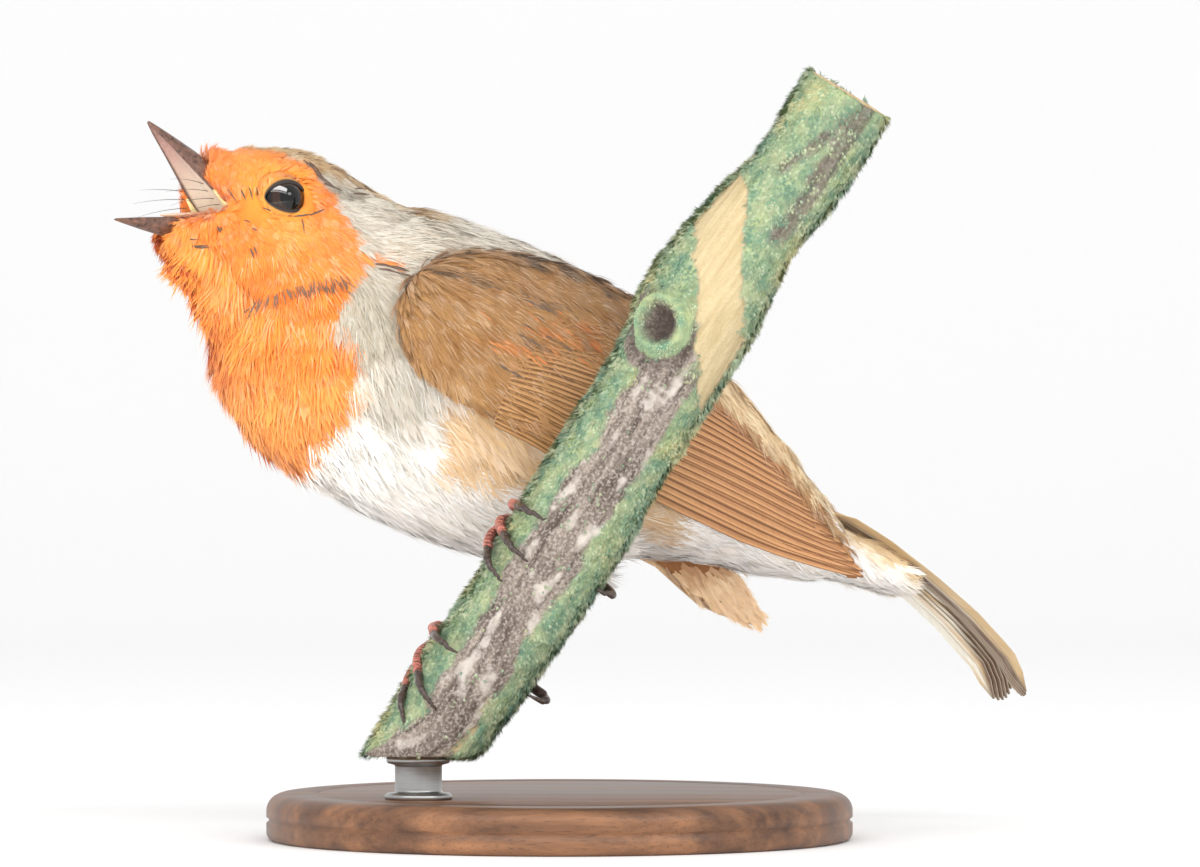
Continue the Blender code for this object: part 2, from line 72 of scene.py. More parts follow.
def in_scene(name, data):
    """An object of this mesh, lamp or camera, linked to the scene."""
    obj = bpy.data.objects.new(name, data)
    bpy.context.scene.collection.objects.link(obj)
    return obj


def new_piece(name, points, faces, merge=1e-7):
    """A mesh object from points in millimetres. With a merge distance its faces are also turned out."""
    mesh = bpy.data.meshes.new(name)
    mesh.from_pydata((np.asarray(points, float) * MM).tolist(), [], faces)
    shape = bmesh.new()
    shape.from_mesh(mesh)
    if merge:
        bmesh.ops.remove_doubles(shape, verts=shape.verts, dist=merge)
        bmesh.ops.recalc_face_normals(shape, faces=shape.faces)
    shape.to_mesh(mesh)
    shape.free()
    mesh.shade_smooth()
    return in_scene(name, mesh)


def put(obj, look, slot, *nodes):
    """Gives a finished piece its material and its body, and hides the solids that it stands for; slot is not
    used.
    """
    obj.data.materials.clear()
    obj.data.materials.append(look)
    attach(obj, "root")
    if nodes:
        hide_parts(*nodes)


def lathe(name, profile, centre, steps):
    """A body turned about an upright axis: the profile runs from the axis round to the axis."""
    points = []
    for k in range(steps):
        angle = 2 * math.pi * k / steps
        for radius, height in profile:
            points.append((centre[0] + radius * math.cos(angle), centre[1] + radius * math.sin(angle),
                           height))
    count = len(profile)
    faces = []
    for k in range(steps):
        after = (k + 1) % steps
        for j in range(count - 1):
            faces.append((k * count + j, after * count + j, after * count + j + 1, k * count + j + 1))
    return new_piece(name, points, faces, merge=1e-6)


def feed(tree, socket, value):
    """Links a socket to a socket, or sets its number or colour."""
    if isinstance(value, bpy.types.NodeSocket):
        tree.links.new(value, socket)
    elif socket.type == "RGBA" and len(value) == 3:
        socket.default_value = (*value, 1.0)
    else:
        socket.default_value = value


def add(tree, kind, inputs=None, **settings):
    """A node with its settings and its inputs, each a number, a colour or another node's output."""
    made = tree.nodes.new(kind)
    for key, value in settings.items():
        setattr(made, key, value)
    for key, value in (inputs or {}).items():
        feed(tree, made.inputs[key], value)
    return made


def mix(tree, factor, first, second, mode="MIX"):
    """The first colour with a share of the second."""
    made = add(tree, "ShaderNodeMix", {0: factor, 6: first, 7: second}, data_type="RGBA", blend_type=mode)
    return made.outputs[2]


def times(tree, tone, shares):
    """A colour made darker by one share each for red, green and blue."""
    return mix(tree, 1.0, tone, shares, "MULTIPLY")


def sum_of(tree, operation, first, second, third=0.0):
    """The result of one operation on two or three numbers."""
    return add(tree, "ShaderNodeMath", {0: first, 1: second, 2: third}, operation=operation).outputs[0]


def spread(tree, value, low, high, new_low=0.0, new_high=1.0):
    """A value's range from low to high, stretched to another range and kept within it."""
    made = add(tree, "ShaderNodeMapRange", {0: value, 1: low, 2: high, 3: new_low, 4: new_high})
    return made.outputs[0]


def grain(tree, place, scale, detail=4.0, rough=0.6, stretch=(1.0, 1.0, 1.0)):
    """Noise at a place, finer along the axes that stretch raises."""
    mapped = add(tree, "ShaderNodeMapping", {"Vector": place, "Scale": stretch}).outputs[0]
    settings = {"Vector": mapped, "Scale": scale, "Detail": detail, "Roughness": rough}
    return add(tree, "ShaderNodeTexNoise", settings).outputs[0]


def object_place(tree):
    """The place on the object, which a material's noise is laid out by."""
    return add(tree, "ShaderNodeTexCoord").outputs["Object"]


def paint(tree, shader, tone):
    """Gives the shader its colour."""
    feed(tree, shader.inputs["Base Color"], tone)


def relief(tree, shader, height, strength, distance=0.0002):
    """Gives the shader a fine relief, its depth in metres."""
    bump = add(tree, "ShaderNodeBump", {"Height": height, "Strength": strength, "Distance": distance})
    feed(tree, shader.inputs["Normal"], bump.outputs[0])


def new_look(name, roughness, **settings):
    """A material, its tree and its shader, with plain numbers set on the shader."""
    look = bpy.data.materials.new(name)
    look.use_nodes = True
    shader = look.node_tree.nodes["Principled BSDF"]
    shader.inputs["Roughness"].default_value = roughness
    for key, value in settings.items():
        shader.inputs[key.replace("_", " ")].default_value = value
    return look, look.node_tree, shader


def srgb(red, green, blue):
    """A colour from 0 to 255 as a painter reads it, in the shader's linear light."""
    values = np.array([red, green, blue], float) / 255
    return tuple(np.where(values <= 0.04045, values / 12.92, ((values + 0.055) / 1.055) ** 2.4))


base_low, base_high = node_box("stand_base")
base_middle = (base_low + base_high) / 2
base_radius = (base_high[0] - base_low[0]) / 2
base_top = base_high[2]
base_profile = [(0.0, 0.0), (base_radius - FOOT_CURVE, 0.0)]
base_profile += [(base_radius - FOOT_CURVE * (1 - math.sin(a)), FOOT_CURVE * (1 - math.cos(a)))
                 for a in np.linspace(0.2, 1.57, 5)]
base_profile += [(base_radius - inward, height) for inward, height in BASE_BEAD]
base_profile += [(base_radius - TOP_CURVE * (1 - math.cos(a)), base_top - TOP_CURVE * (1 - math.sin(a)))
                 for a in np.linspace(0.0, 1.57, 9)]
base_profile += [(base_radius - inward, base_top - depth) for inward, depth in BASE_GROOVE]
base_profile += [(0.0, base_top)]
stand_base = lathe("stand_base_turned", base_profile, base_middle, BASE_STEPS)

walnut, tree, shader = new_look("oiled_walnut", 0.42, Coat_Weight=0.12, Coat_Roughness=0.3)
place = object_place(tree)
figure = grain(tree, place, 5.0, 6.0, 0.65, stretch=(4.0, 60.0, 60.0))
pores = grain(tree, place, 4.0, 3.0, 0.7, stretch=(60.0, 1400.0, 1400.0))
rings = add(tree, "ShaderNodeTexWave", {"Vector": place, "Scale": 34.0, "Distortion": 5.0, "Detail": 3.0,
                                        "Detail Scale": 1.4}, bands_direction="Y").outputs[1]
tone = mix(tree, spread(tree, figure, 0.35, 0.68), srgb(78, 50, 33), srgb(148, 102, 68))
tone = mix(tree, spread(tree, rings, 0.2, 0.9, 0.0, 0.4), tone, srgb(64, 40, 27))
tone = mix(tree, spread(tree, pores, 0.56, 0.66, 0.0, 0.55), tone, srgb(40, 25, 17))
paint(tree, shader, tone)
feed(tree, shader.inputs["Roughness"], spread(tree, figure, 0.3, 0.7, 0.36, 0.5))
relief(tree, shader, pores, 0.15)
put(stand_base, walnut, "stand_walnut", "stand_base")


# ---- Stand rod --------------------------------------------------------------------------------
# A short turned steel rod with a small collar where it enters the wood and another under the
# branch. Brushed round by the lathe, so the fine lines run round it.

ROD_STEPS = 64
LOWER_COLLAR = ((1.3, 0.0), (1.3, 0.5), (1.0, 0.8), (0.1, 0.9), (0.0, 1.2))
UPPER_COLLAR = ((0.0, -1.1), (0.1, -0.9), (0.9, -0.7), (1.1, -0.4), (1.1, 0.2))

rod_low, rod_high = node_box("stand_rod")
rod_middle = (rod_low + rod_high) / 2
rod_radius = (rod_high[0] - rod_low[0]) / 2
rod_profile = [(0.0, base_top)]
rod_profile += [(rod_radius + outward, base_top + height) for outward, height in LOWER_COLLAR]
rod_profile += [(rod_radius + outward, rod_high[2] + height) for outward, height in UPPER_COLLAR]
rod_profile += [(0.0, rod_high[2] + 0.2)]
stand_rod = lathe("stand_rod_turned", rod_profile, rod_middle, ROD_STEPS)

steel, tree, shader = new_look("brushed_steel", 0.34, Metallic=1.0)
brushing = grain(tree, object_place(tree), 1.0, 2.0, 0.5, stretch=(120.0, 120.0, 9000.0))
paint(tree, shader, mix(tree, brushing, srgb(150, 150, 150), srgb(196, 196, 194)))
feed(tree, shader.inputs["Roughness"], spread(tree, brushing, 0.3, 0.7, 0.26, 0.42))
put(stand_rod, steel, "rod_steel", "stand_rod")


# ---- Perch: bark ------------------------------------------------------------------------------
# A steep cut length of living branch: grey-brown flaking bark with pale flecks down its middle, a
# stripped pale band that winds across it, a round knot, and sawn ends. Carved from the solid.

BARK_VOXEL = 0.3
KNOT_UP, KNOT_ROUND = 65.4, 27.0
BRANCH_ROWS = np.arange(400)
BAND_X, BAND_HALF = 20.5, 3.0


def node_mesh(node):
    """Points in millimetres and faces of a solid, its loose triangles joined."""
    shape = bmesh.new()
    shape.from_mesh(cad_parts[node].data)
    bmesh.ops.remove_doubles(shape, verts=shape.verts, dist=1e-6)
    points = np.array([v.co for v in shape.verts]) / MM
    faces = [tuple(v.index for v in f.verts) for f in shape.faces]
    shape.free()
    return points, faces


def remeshed(name, solids, voxel, smoothing, swell=0.0):
    """One closed skin round several solids: each (points, faces) is swelled, joined and remeshed."""
    points, faces = [], []
    for solid_points, solid_faces in solids:
        shape = new_piece("swelling", solid_points, solid_faces)
        corners = points_of(shape) + swell * normals_of(shape)
        faces += [tuple(len(points) + i for i in face.vertices) for face in shape.data.polygons]
        points += corners.tolist()
        bpy.data.objects.remove(shape)
    rough = new_piece(name + "_rough", points, faces, merge=0.0)
    cover = rough.modifiers.new("cover", "REMESH")
    cover.mode = "VOXEL"
    cover.voxel_size = voxel * MM
    soften = rough.modifiers.new("soften", "SMOOTH")
    soften.factor = 0.5
    soften.iterations = smoothing
    mesh = mesh_made_by(rough)
    bpy.data.objects.remove(rough)
    mesh.name = name
    mesh.shade_smooth()
    return in_scene(name, mesh)


def mesh_made_by(obj):
    """The mesh that an object's modifiers make of it."""
    graph = bpy.context.evaluated_depsgraph_get()
    return bpy.data.meshes.new_from_object(obj.evaluated_get(graph))


def read_points(mesh, field):
    """Three numbers kept for each point of a mesh: its place, or its normal."""
    values = np.zeros(len(mesh.vertices) * 3)
    mesh.vertices.foreach_get(field, values)
    return values.reshape(-1, 3)


def points_of(obj):
    """An object's points in millimetres."""
    return read_points(obj.data, "co") / MM


def normals_of(obj):
    """An object's normals, one for each point."""
    return read_points(obj.data, "normal")


def set_points(obj, points):
    """Moves an object's points to these places in millimetres."""
    obj.data.vertices.foreach_set("co", (points * MM).ravel())
    obj.data.update()


def store(obj, name, kind, values, domain="POINT"):
    """Keeps one value for each point of a mesh under a name."""
    field = {"FLOAT": "value", "INT": "value", "FLOAT_VECTOR": "vector", "FLOAT_COLOR": "color"}[kind]
    made = obj.data.attributes.new(name, kind, domain)
    made.data.foreach_set(field, np.asarray(values, np.float32 if kind != "INT" else np.int32).ravel())


def unit(vectors):
    """Vectors at a length of one."""
    vectors = np.asarray(vectors, float)
    return vectors / np.maximum(np.linalg.norm(vectors, axis=-1, keepdims=True), 1e-9)


def ease(values, low, high):
    """0 below low, 1 above high, smooth between."""
    t = np.clip((np.asarray(values, float) - low) / (high - low), 0.0, 1.0)
    return t * t * (3 - 2 * t)


def cloud(points, size, seed=0.0):
    """Smooth noise from -1 to 1 at each point, its lumps about this size."""
    shift = Vector((seed * 17.3, seed * 5.1, -seed * 9.7))
    return np.array([noise.noise(Vector(p) / size + shift) for p in points])


def kept(tree, name, output="Fac"):
    """A value that the mesh keeps under a name, read by a material."""
    return add(tree, "ShaderNodeAttribute", attribute_name=name).outputs[output]


perch_points, perch_faces = node_mesh("perch")
perch_low, _ = node_box("perch")
perch_mean = perch_points.mean(axis=0)
perch_lean = unit(np.linalg.svd(perch_points - perch_mean)[2][0])
perch_lean = perch_lean * np.sign(perch_lean[2])


def branch_fit():
    """The branch's line as smooth curves fitted through its surface, and a table of places along it."""
    reach = (perch_points - perch_mean) @ perch_lean
    away = perch_points - perch_mean - np.outer(reach, perch_lean)
    curves = [np.polyfit(reach, away[:, k], 7) for k in range(3)]
    steps = np.linspace(reach.min(), reach.max(), len(BRANCH_ROWS))
    line = perch_mean + np.outer(steps, perch_lean) + np.stack([np.polyval(c, steps) for c in curves], 1)
    length = np.concatenate([[0.0], np.cumsum(np.linalg.norm(np.diff(line, axis=0), axis=1))])
    foot = np.interp(perch_low[2], line[:, 2], length)
    return steps, line, length - foot


branch_reach, branch_line, branch_length = branch_fit()
branch_along = unit(np.gradient(branch_line, axis=0))
branch_front = unit(np.array([0.0, -1.0, 0.0]) + branch_along * branch_along[:, 1:2])
branch_left = np.cross(branch_front, branch_along)
branch_left = branch_left * -np.sign(branch_left[:, :1])


def on_branch_line(points):
    """How far up the branch, how many degrees round it from the front, and how far off its line."""
    reach = (np.atleast_2d(points) - perch_mean) @ perch_lean
    row = np.interp(reach, branch_reach, BRANCH_ROWS).round().astype(int)
    off = points - branch_line[row]
    round_deg = np.degrees(np.arctan2((off * branch_left[row]).sum(1), (off * branch_front[row]).sum(1)))
    off = off - branch_along[row] * (off * branch_along[row]).sum(1)[:, None]
    return branch_length[row], round_deg, np.linalg.norm(off, axis=1)


def branch_place(up, round_deg, radius):
    """The point this far up, this far round and this far off the branch's line."""
    row = int(np.interp(up, branch_length, BRANCH_ROWS).round())
    angle = math.radians(round_deg)
    out = branch_front[row] * math.cos(angle) + branch_left[row] * math.sin(angle)
    return branch_line[row] + radius * out


bark = remeshed("perch_bark", [(perch_points, perch_faces)], BARK_VOXEL, 2)

# Every cover has its share at each point: bark, streaks, the stripped band, the knot, sawn ends, moss.
points, normals = points_of(bark), normals_of(bark)
up, around, off_line = on_branch_line(points)
soft = cloud(points, 5.0, 1.0)
fine = cloud(points, 1.6, 2.0)
arc = np.radians(around) * off_line
along_grain = np.stack([up / 5.0, arc / 0.8, np.zeros_like(up)], 1)
flakes = cloud(along_grain, 1.0, 3.0)
knot_away = np.hypot(up - KNOT_UP, np.radians(around - KNOT_ROUND) * off_line)
ends = np.maximum(ease(-normals[:, 2], 0.85, 0.97) * ease(-up, -4.5, -2.0),
                  ease((normals * perch_lean).sum(1), 0.75, 0.9) * ease(up, 98.0, 101.0))
middle = -4.0 + 8.0 * np.sin(up / 17.0) + 12.0 * soft
bark_show = ease(-np.abs(around - middle) + 6.0 * fine, -40.0, -30.0) * ease(-up, -66.0, -60.0)
round_knot = ease(-np.abs(knot_away - 5.4) + 0.4 * fine, -1.9, -0.8) * ease(-up, -70.0, -66.0)
bark_show = np.maximum(bark_show, round_knot)
streak = ease(-np.abs(around + 33.0 - 9.0 * fine), -24.0, -6.0)
streak *= ease(up, 80.0, 82.5) * ease(-up, -108.0, -103.0)
streak *= ease(soft + 0.5 * fine, -1.1, -0.6)
fork_middle = np.interp(up, [88.0, 92.0, 96.0, 101.0], [24.0, 10.0, -8.0, -24.0])
fork = ease(-np.abs(around - fork_middle - 7.0 * fine), -15.0, -2.0)
fork *= ease(up, 88.0, 90.0) * ease(-up, -102.0, -99.0)
streak = np.maximum(streak, 0.9 * fork) * (0.8 + 0.3 * fine)
band_edge = BAND_HALF + 0.9 * soft + 0.7 * fine + 0.02 * (points[:, 2] - 72.0)
band = ease(band_edge - np.abs(points[:, 0] - BAND_X), -0.25, 0.25) * ease(-np.abs(around), -88.0, -78.0)
band *= ease(up, 52.0, 57.0) * ease(-up, -90.0, -86.0) * ease(knot_away, 3.6, 4.3)
low_strip = ease(-np.abs(around + 31.0 - 5.0 * soft), -9.0, -4.0) * ease(-up, -15.0, -9.0)
band = np.maximum(band, 0.9 * low_strip * ease(fine, -0.35, 0.0))
knot_heart = ease(-knot_away + 0.25 * fine, -2.8, -1.5)
knot_ring = ease(-knot_away + 0.3 * fine, -4.7, -4.1) * (1 - knot_heart)
knot_rim = np.exp(-((knot_away - 3.0) / 0.85) ** 2)
bare = np.clip(np.maximum(bark_show, streak), 0, 1) * (1 - band) * (1 - knot_ring)
moss = np.clip(1 - np.maximum.reduce([bare, band, 2.0 * knot_heart, ends]), 0, 1)

# The bark flakes, moss swells, the knot's rim stands out and its heart is sunk.
rise = bare * (0.26 * flakes + 0.12 * fine) + moss * (0.22 * fine + 0.2 * soft + 0.12)
rise += 1.2 * knot_rim - 1.5 * knot_heart - 0.25 * band - 0.35 * np.exp(-((knot_away - 4.9) / 0.5) ** 2)
rise *= 1 - ends
set_points(bark, points + normals * rise[:, None])
flecks = cloud(along_grain * [1.1, 0.45, 1.0], 1.0, 7.0) + 0.35 * cloud(points, 0.9, 8.0) + 0.3 * soft
flecks = ease(flecks, 0.2, 0.5)
flecks *= (0.5 + 0.35 * ease(fine, -0.3, 0.3)) * ease(knot_away, 5.4, 7.4)
knot_shade = 0.45 * ease(-knot_away, -7.0, -5.2)
dark = np.maximum.reduce([knot_heart, streak * 0.6, knot_shade * bare])
store(bark, "cover", "FLOAT_COLOR", np.stack([moss, band, flecks * bare, dark], 1))
store(bark, "ends", "FLOAT", ends)
store(bark, "lie", "FLOAT_VECTOR", np.stack([up, arc, off_line], 1) * MM)

bark_look, tree, shader = new_look("grey_bark", 0.9)
place = object_place(tree)
lie = kept(tree, "lie", "Vector")
cover = add(tree, "ShaderNodeAttribute", attribute_name="cover")
moss_in, band_in, flecks_in = add(tree, "ShaderNodeSeparateColor", {0: cover.outputs["Color"]}).outputs
ends_in = kept(tree, "ends")
ridges = grain(tree, lie, 1.0, 5.0, 0.65, stretch=(120.0, 900.0, 300.0))
specks = grain(tree, place, 2600.0, 3.0, 0.6)
patches = grain(tree, place, 420.0, 4.0, 0.6)
tone = mix(tree, spread(tree, ridges, 0.38, 0.62), srgb(84, 73, 66), srgb(148, 135, 124))
tone = mix(tree, spread(tree, specks, 0.5, 0.62, 0.0, 0.5), tone, srgb(190, 180, 170))
tone = mix(tree, spread(tree, specks, 0.3, 0.44, 0.6, 0.0), tone, srgb(62, 53, 48))
tone = mix(tree, flecks_in, tone, srgb(202, 193, 183))
under_moss = mix(tree, spread(tree, patches, 0.35, 0.65), srgb(104, 142, 116), srgb(166, 178, 130))
tone = mix(tree, moss_in, tone, under_moss)
stripped = mix(tree, spread(tree, ridges, 0.35, 0.65), srgb(180, 160, 120), srgb(202, 184, 146))
stripped = mix(tree, spread(tree, specks, 0.56, 0.66, 0.0, 0.35), stripped, srgb(182, 158, 110))
tone = mix(tree, band_in, tone, stripped)
tone = mix(tree, spread(tree, cover.outputs["Alpha"], 0.0, 1.0, 0.0, 0.85), tone, srgb(62, 52, 46))
growth = add(tree, "ShaderNodeTexWave", {"Vector": place, "Scale": 260.0, "Distortion": 3.0, "Detail": 2.0},
             wave_type="RINGS", rings_direction="X").outputs[1]
sawn = mix(tree, growth, srgb(196, 164, 116), srgb(228, 202, 156))
paint(tree, shader, mix(tree, ends_in, tone, sawn))
height = sum_of(tree, "MULTIPLY_ADD", ridges, 0.8, specks)
relief(tree, shader, height, 0.75, 0.00035)
put(bark, bark_look, "mossy_bark", "perch")


# ---- Perch: moss ------------------------------------------------------------------------------
# Short feathery moss shoots that stand off the bark in tight cushions, blue-green in the shade and
# yellow-green at the tips, longest where the branch turns away and the tufts break its outline.

MOSS_LENGTH = 1.05
MOSS_SPACING = 0.31
MOSS_GREEN = np.array(srgb(132, 150, 122))
UPPER_MOSS_FROM = 47.0
LAY_SHARE = 0.72
DENSEST_TUFTS = 6.0e7
COMB_VALUES = {"comb": "FLOAT_VECTOR", "facing": "FLOAT_VECTOR", "reach": "FLOAT", "loft": "FLOAT",
               "fill": "FLOAT", "patch": "INT", "tint": "FLOAT_VECTOR", "spot": "FLOAT_VECTOR"}


def keep_comb(obj, **values):
    """Keeps all that a scatter tree reads at each point of a surface."""
    for name, kind in COMB_VALUES.items():
        store(obj, name, kind, values[name])


def drop_comb(obj):
    """Takes the scatter tree's values off a surface that has its tufts."""
    for name in COMB_VALUES:
        obj.data.attributes.remove(obj.data.attributes[name])


def surface_value(tree, name, kind):
    """A value that the surface keeps under a name, read by a scatter tree."""
    return add(tree, "GeometryNodeInputNamedAttribute", {"Name": name}, data_type=kind).outputs[0]


def scatter_tree(name, tufts, look):
    """Plants tufts on a surface along its lie, and gives each the surface's colour at its root.

    The surface keeps, for each point, comb (which way the tufts run), facing (its own normal), reach
    (how long they are, in metres), loft (how far they stand off, in radians), fill (0 to 1), patch
    (which piece it belongs to), tint, and spot (its place on the unwrapped skin).
    """
    tree = bpy.data.node_groups.new(name, "GeometryNodeTree")
    sockets = tree.interface
    sockets.new_socket("Geometry", in_out="INPUT", socket_type="NodeSocketGeometry")
    for label, kind in (("Spacing", "Float"), ("Patch", "Int"), ("Width", "Float"), ("Unruly", "Float"),
                        ("Seed", "Int")):
        sockets.new_socket(label, in_out="INPUT", socket_type="NodeSocket" + kind)
    sockets.new_socket("Geometry", in_out="OUTPUT", socket_type="NodeSocketGeometry")
    given = tree.nodes.new("NodeGroupInput").outputs
    here = add(tree, "FunctionNodeCompare", {2: surface_value(tree, "patch", "INT"), 3: given["Patch"]},
               data_type="INT", operation="EQUAL").outputs[0]
    fill = sum_of(tree, "MULTIPLY", here, surface_value(tree, "fill", "FLOAT"))
    planted = add(tree, "GeometryNodeDistributePointsOnFaces",
                  {"Mesh": given["Geometry"], "Distance Min": given["Spacing"], "Density Max": DENSEST_TUFTS,
                   "Density Factor": fill, "Seed": given["Seed"]}, distribute_method="POISSON").outputs
    stood = add(tree, "FunctionNodeAlignRotationToVector", {"Vector": planted["Normal"]}, axis="Z").outputs[0]
    combed = add(tree, "FunctionNodeAlignRotationToVector",
                 {"Rotation": stood, "Vector": surface_value(tree, "comb", "FLOAT_VECTOR")},
                 axis="Y", pivot_axis="Z").outputs[0]

    def chance(low, high, seed):
        """A number drawn for each tuft."""
        made = add(tree, "FunctionNodeRandomValue", {"Seed": seed}, data_type="FLOAT")
        feed(tree, made.inputs[2], low)
        feed(tree, made.inputs[3], high)
        return made.outputs[1]

    yaw = sum_of(tree, "MULTIPLY", chance(-1.0, 1.0, 1), given["Unruly"])
    lift = sum_of(tree, "MULTIPLY_ADD", sum_of(tree, "MULTIPLY", chance(-0.5, 0.6, 2), given["Unruly"]), 0.6,
                  surface_value(tree, "loft", "FLOAT"))
    twist = sum_of(tree, "MULTIPLY", chance(-0.8, 0.8, 3), given["Unruly"])
    turned_by = add(tree, "ShaderNodeCombineXYZ", {"X": 0.0, "Y": twist, "Z": yaw}).outputs[0]
    raised_by = add(tree, "ShaderNodeCombineXYZ", {"X": lift, "Y": 0.0, "Z": 0.0}).outputs[0]
    for euler in (turned_by, raised_by):
        as_rotation = add(tree, "FunctionNodeEulerToRotation", {0: euler}).outputs[0]
        combed = add(tree, "FunctionNodeRotateRotation", {"Rotation": combed, "Rotate By": as_rotation},
                     rotation_space="LOCAL").outputs[0]
    facing = surface_value(tree, "facing", "FLOAT_VECTOR")
    length = sum_of(tree, "MULTIPLY", surface_value(tree, "reach", "FLOAT"), chance(0.78, 1.18, 4))
    wide = sum_of(tree, "MULTIPLY", length, given["Width"])
    size = add(tree, "ShaderNodeCombineXYZ", {"X": wide, "Y": length, "Z": length}).outputs[0]
    joined = tree.nodes.new("GeometryNodeJoinGeometry")
    for tuft in reversed(tufts):
        shown = add(tree, "GeometryNodeObjectInfo", {"Object": tuft, "As Instance": True}).outputs["Geometry"]
        tree.links.new(shown, joined.inputs[0])
    which = add(tree, "FunctionNodeRandomValue", {"Seed": 5}, data_type="INT")
    which.inputs[4].default_value = 0
    which.inputs[5].default_value = len(tufts) - 1
    grown = add(tree, "GeometryNodeInstanceOnPoints",
                {"Points": planted["Points"], "Instance": joined.outputs[0], "Pick Instance": True,
                 "Instance Index": which.outputs[2], "Rotation": combed, "Scale": size}).outputs[0]
    shaded = add(tree, "GeometryNodeStoreNamedAttribute",
                 {"Geometry": grown, "Name": "shade", "Value": chance(0.0, 1.0, 6)},
                 data_type="FLOAT", domain="INSTANCE").outputs[0]
    laid_flat = add(tree, "GeometryNodeStoreNamedAttribute",
                    {"Geometry": shaded, "Name": "lay", "Value": facing}, data_type="FLOAT_VECTOR",
                    domain="INSTANCE").outputs[0]
    real = add(tree, "GeometryNodeRealizeInstances", {"Geometry": laid_flat}).outputs[0]
    leaf = surface_value(tree, "leaf", "FLOAT_VECTOR")
    in_patch = add(tree, "ShaderNodeVectorMath", {0: leaf, "Scale": 0.003}, operation="SCALE").outputs[0]
    spot = surface_value(tree, "spot", "FLOAT_VECTOR")
    spot = add(tree, "ShaderNodeVectorMath", {0: spot, 1: in_patch}, operation="ADD").outputs[0]
    mapped = add(tree, "GeometryNodeStoreNamedAttribute", {"Geometry": real, "Name": "OFBake", "Value": spot},
                 data_type="FLOAT2", domain="CORNER").outputs[0]
    done = add(tree, "GeometryNodeSetMaterial", {"Geometry": mapped, "Material": look}).outputs[0]
    tree.links.new(done, tree.nodes.new("NodeGroupOutput").inputs[0])
    return tree


def scattered(name, surface, tree, settings):
    """Runs a scatter tree on a surface and keeps the result as a plain mesh piece."""
    grower = surface.modifiers.new("scatter", "NODES")
    grower.node_group = tree
    for item in tree.interface.items_tree:
        if item.name in settings:
            grower[item.identifier] = settings[item.name]
    surface.update_tag()
    bpy.context.view_layer.update()
    mesh = mesh_made_by(surface)
    surface.modifiers.remove(grower)
    mesh.name = name
    mesh.shade_smooth()
    facing = read_points(mesh, "normal")
    root_facing = np.zeros(len(mesh.vertices) * 3)
    mesh.attributes["lay"].data.foreach_get("vector", root_facing)
    root_facing = unit(root_facing.reshape(-1, 3))
    facing = facing * np.where((facing * root_facing).sum(1) < 0, -1.0, 1.0)[:, None]
    softened = unit(facing * (1 - LAY_SHARE) + root_facing * LAY_SHARE)
    for spent in ("comb", "reach", "loft", "fill", "patch", "spot", "leaf", "lay", "facing"):
        if spent in mesh.attributes:
            mesh.attributes.remove(mesh.attributes[spent])
    mesh.normals_split_custom_set_from_vertices(softened.tolist())
    return in_scene(name, mesh)


def tuft_mesh(name, strands, vane, bend, seed):
    """One tuft of unit length along +Y: a thin leaf under fine strands that fan out from its root.

    strands is (how many, width of each, how far they fan), vane is its half width or 0, and bend
    is how far the tip curls down.
    """
    rng = np.random.default_rng(seed)
    count, width, fan = strands
    points, faces, tone, along = [], [], [], []

    def strip(x, spread_to, length, half, lift, shade, rows):
        """One tapering strip that ends in a point."""
        start = len(points)
        for share in rows[:-1]:
            y = length * share
            middle_x = x + spread_to * share ** 1.3
            thick = half * (1.0 - 0.45 * share)
            drop = lift + 0.05 * math.sin(math.pi * share) - bend * y * y
            points.extend([(middle_x - thick, y, drop), (middle_x + thick, y, drop)])
            tone.extend([shade, shade])
            along.extend([share, share])
        points.append((x + spread_to, length, lift - bend * length * length))
        tone.append(shade)
        along.append(1.0)
        for k in range(len(rows) - 2):
            a = start + 2 * k
            faces.append((a, a + 1, a + 3, a + 2))
        last = start + 2 * (len(rows) - 2)
        faces.append((last, last + 1, last + 2))

    if vane:
        strip(0.0, 0.0, 0.86, vane, -0.01, 0.45, (0.0, 0.3, 0.7, 1.0))
    for k in range(count):
        share = (k + 0.5) / count * 2 - 1
        x = share * fan * 0.3 + rng.uniform(-0.02, 0.02)
        strip(x, share * fan + rng.uniform(-0.04, 0.04), rng.uniform(0.78, 1.0), width,
              rng.uniform(0.0, 0.035), rng.uniform(0.0, 1.0), (0.05, 0.5, 1.0))
    mesh = bpy.data.meshes.new(name)
    mesh.from_pydata(points, [], faces)
    obj = bpy.data.objects.new(name, mesh)
    store(obj, "strand", "FLOAT", tone)
    store(obj, "along", "FLOAT", along)
    corners = [point for face in faces for point in face]
    store(obj, "leaf", "FLOAT_VECTOR", [(points[i][0], points[i][1] - 0.5, 0.0) for i in corners], "CORNER")
    return obj


def tuft_values(tree):
    """What a tuft keeps for its look: tint, its own shade, each strand's shade, and the place along it."""
    return kept(tree, "tint", "Color"), kept(tree, "shade"), kept(tree, "strand"), kept(tree, "along")


def on_sheet(share):
    """A share from 0 to 1 of the unwrapped sheet, kept off its edges."""
    return 0.03 + 0.94 * share


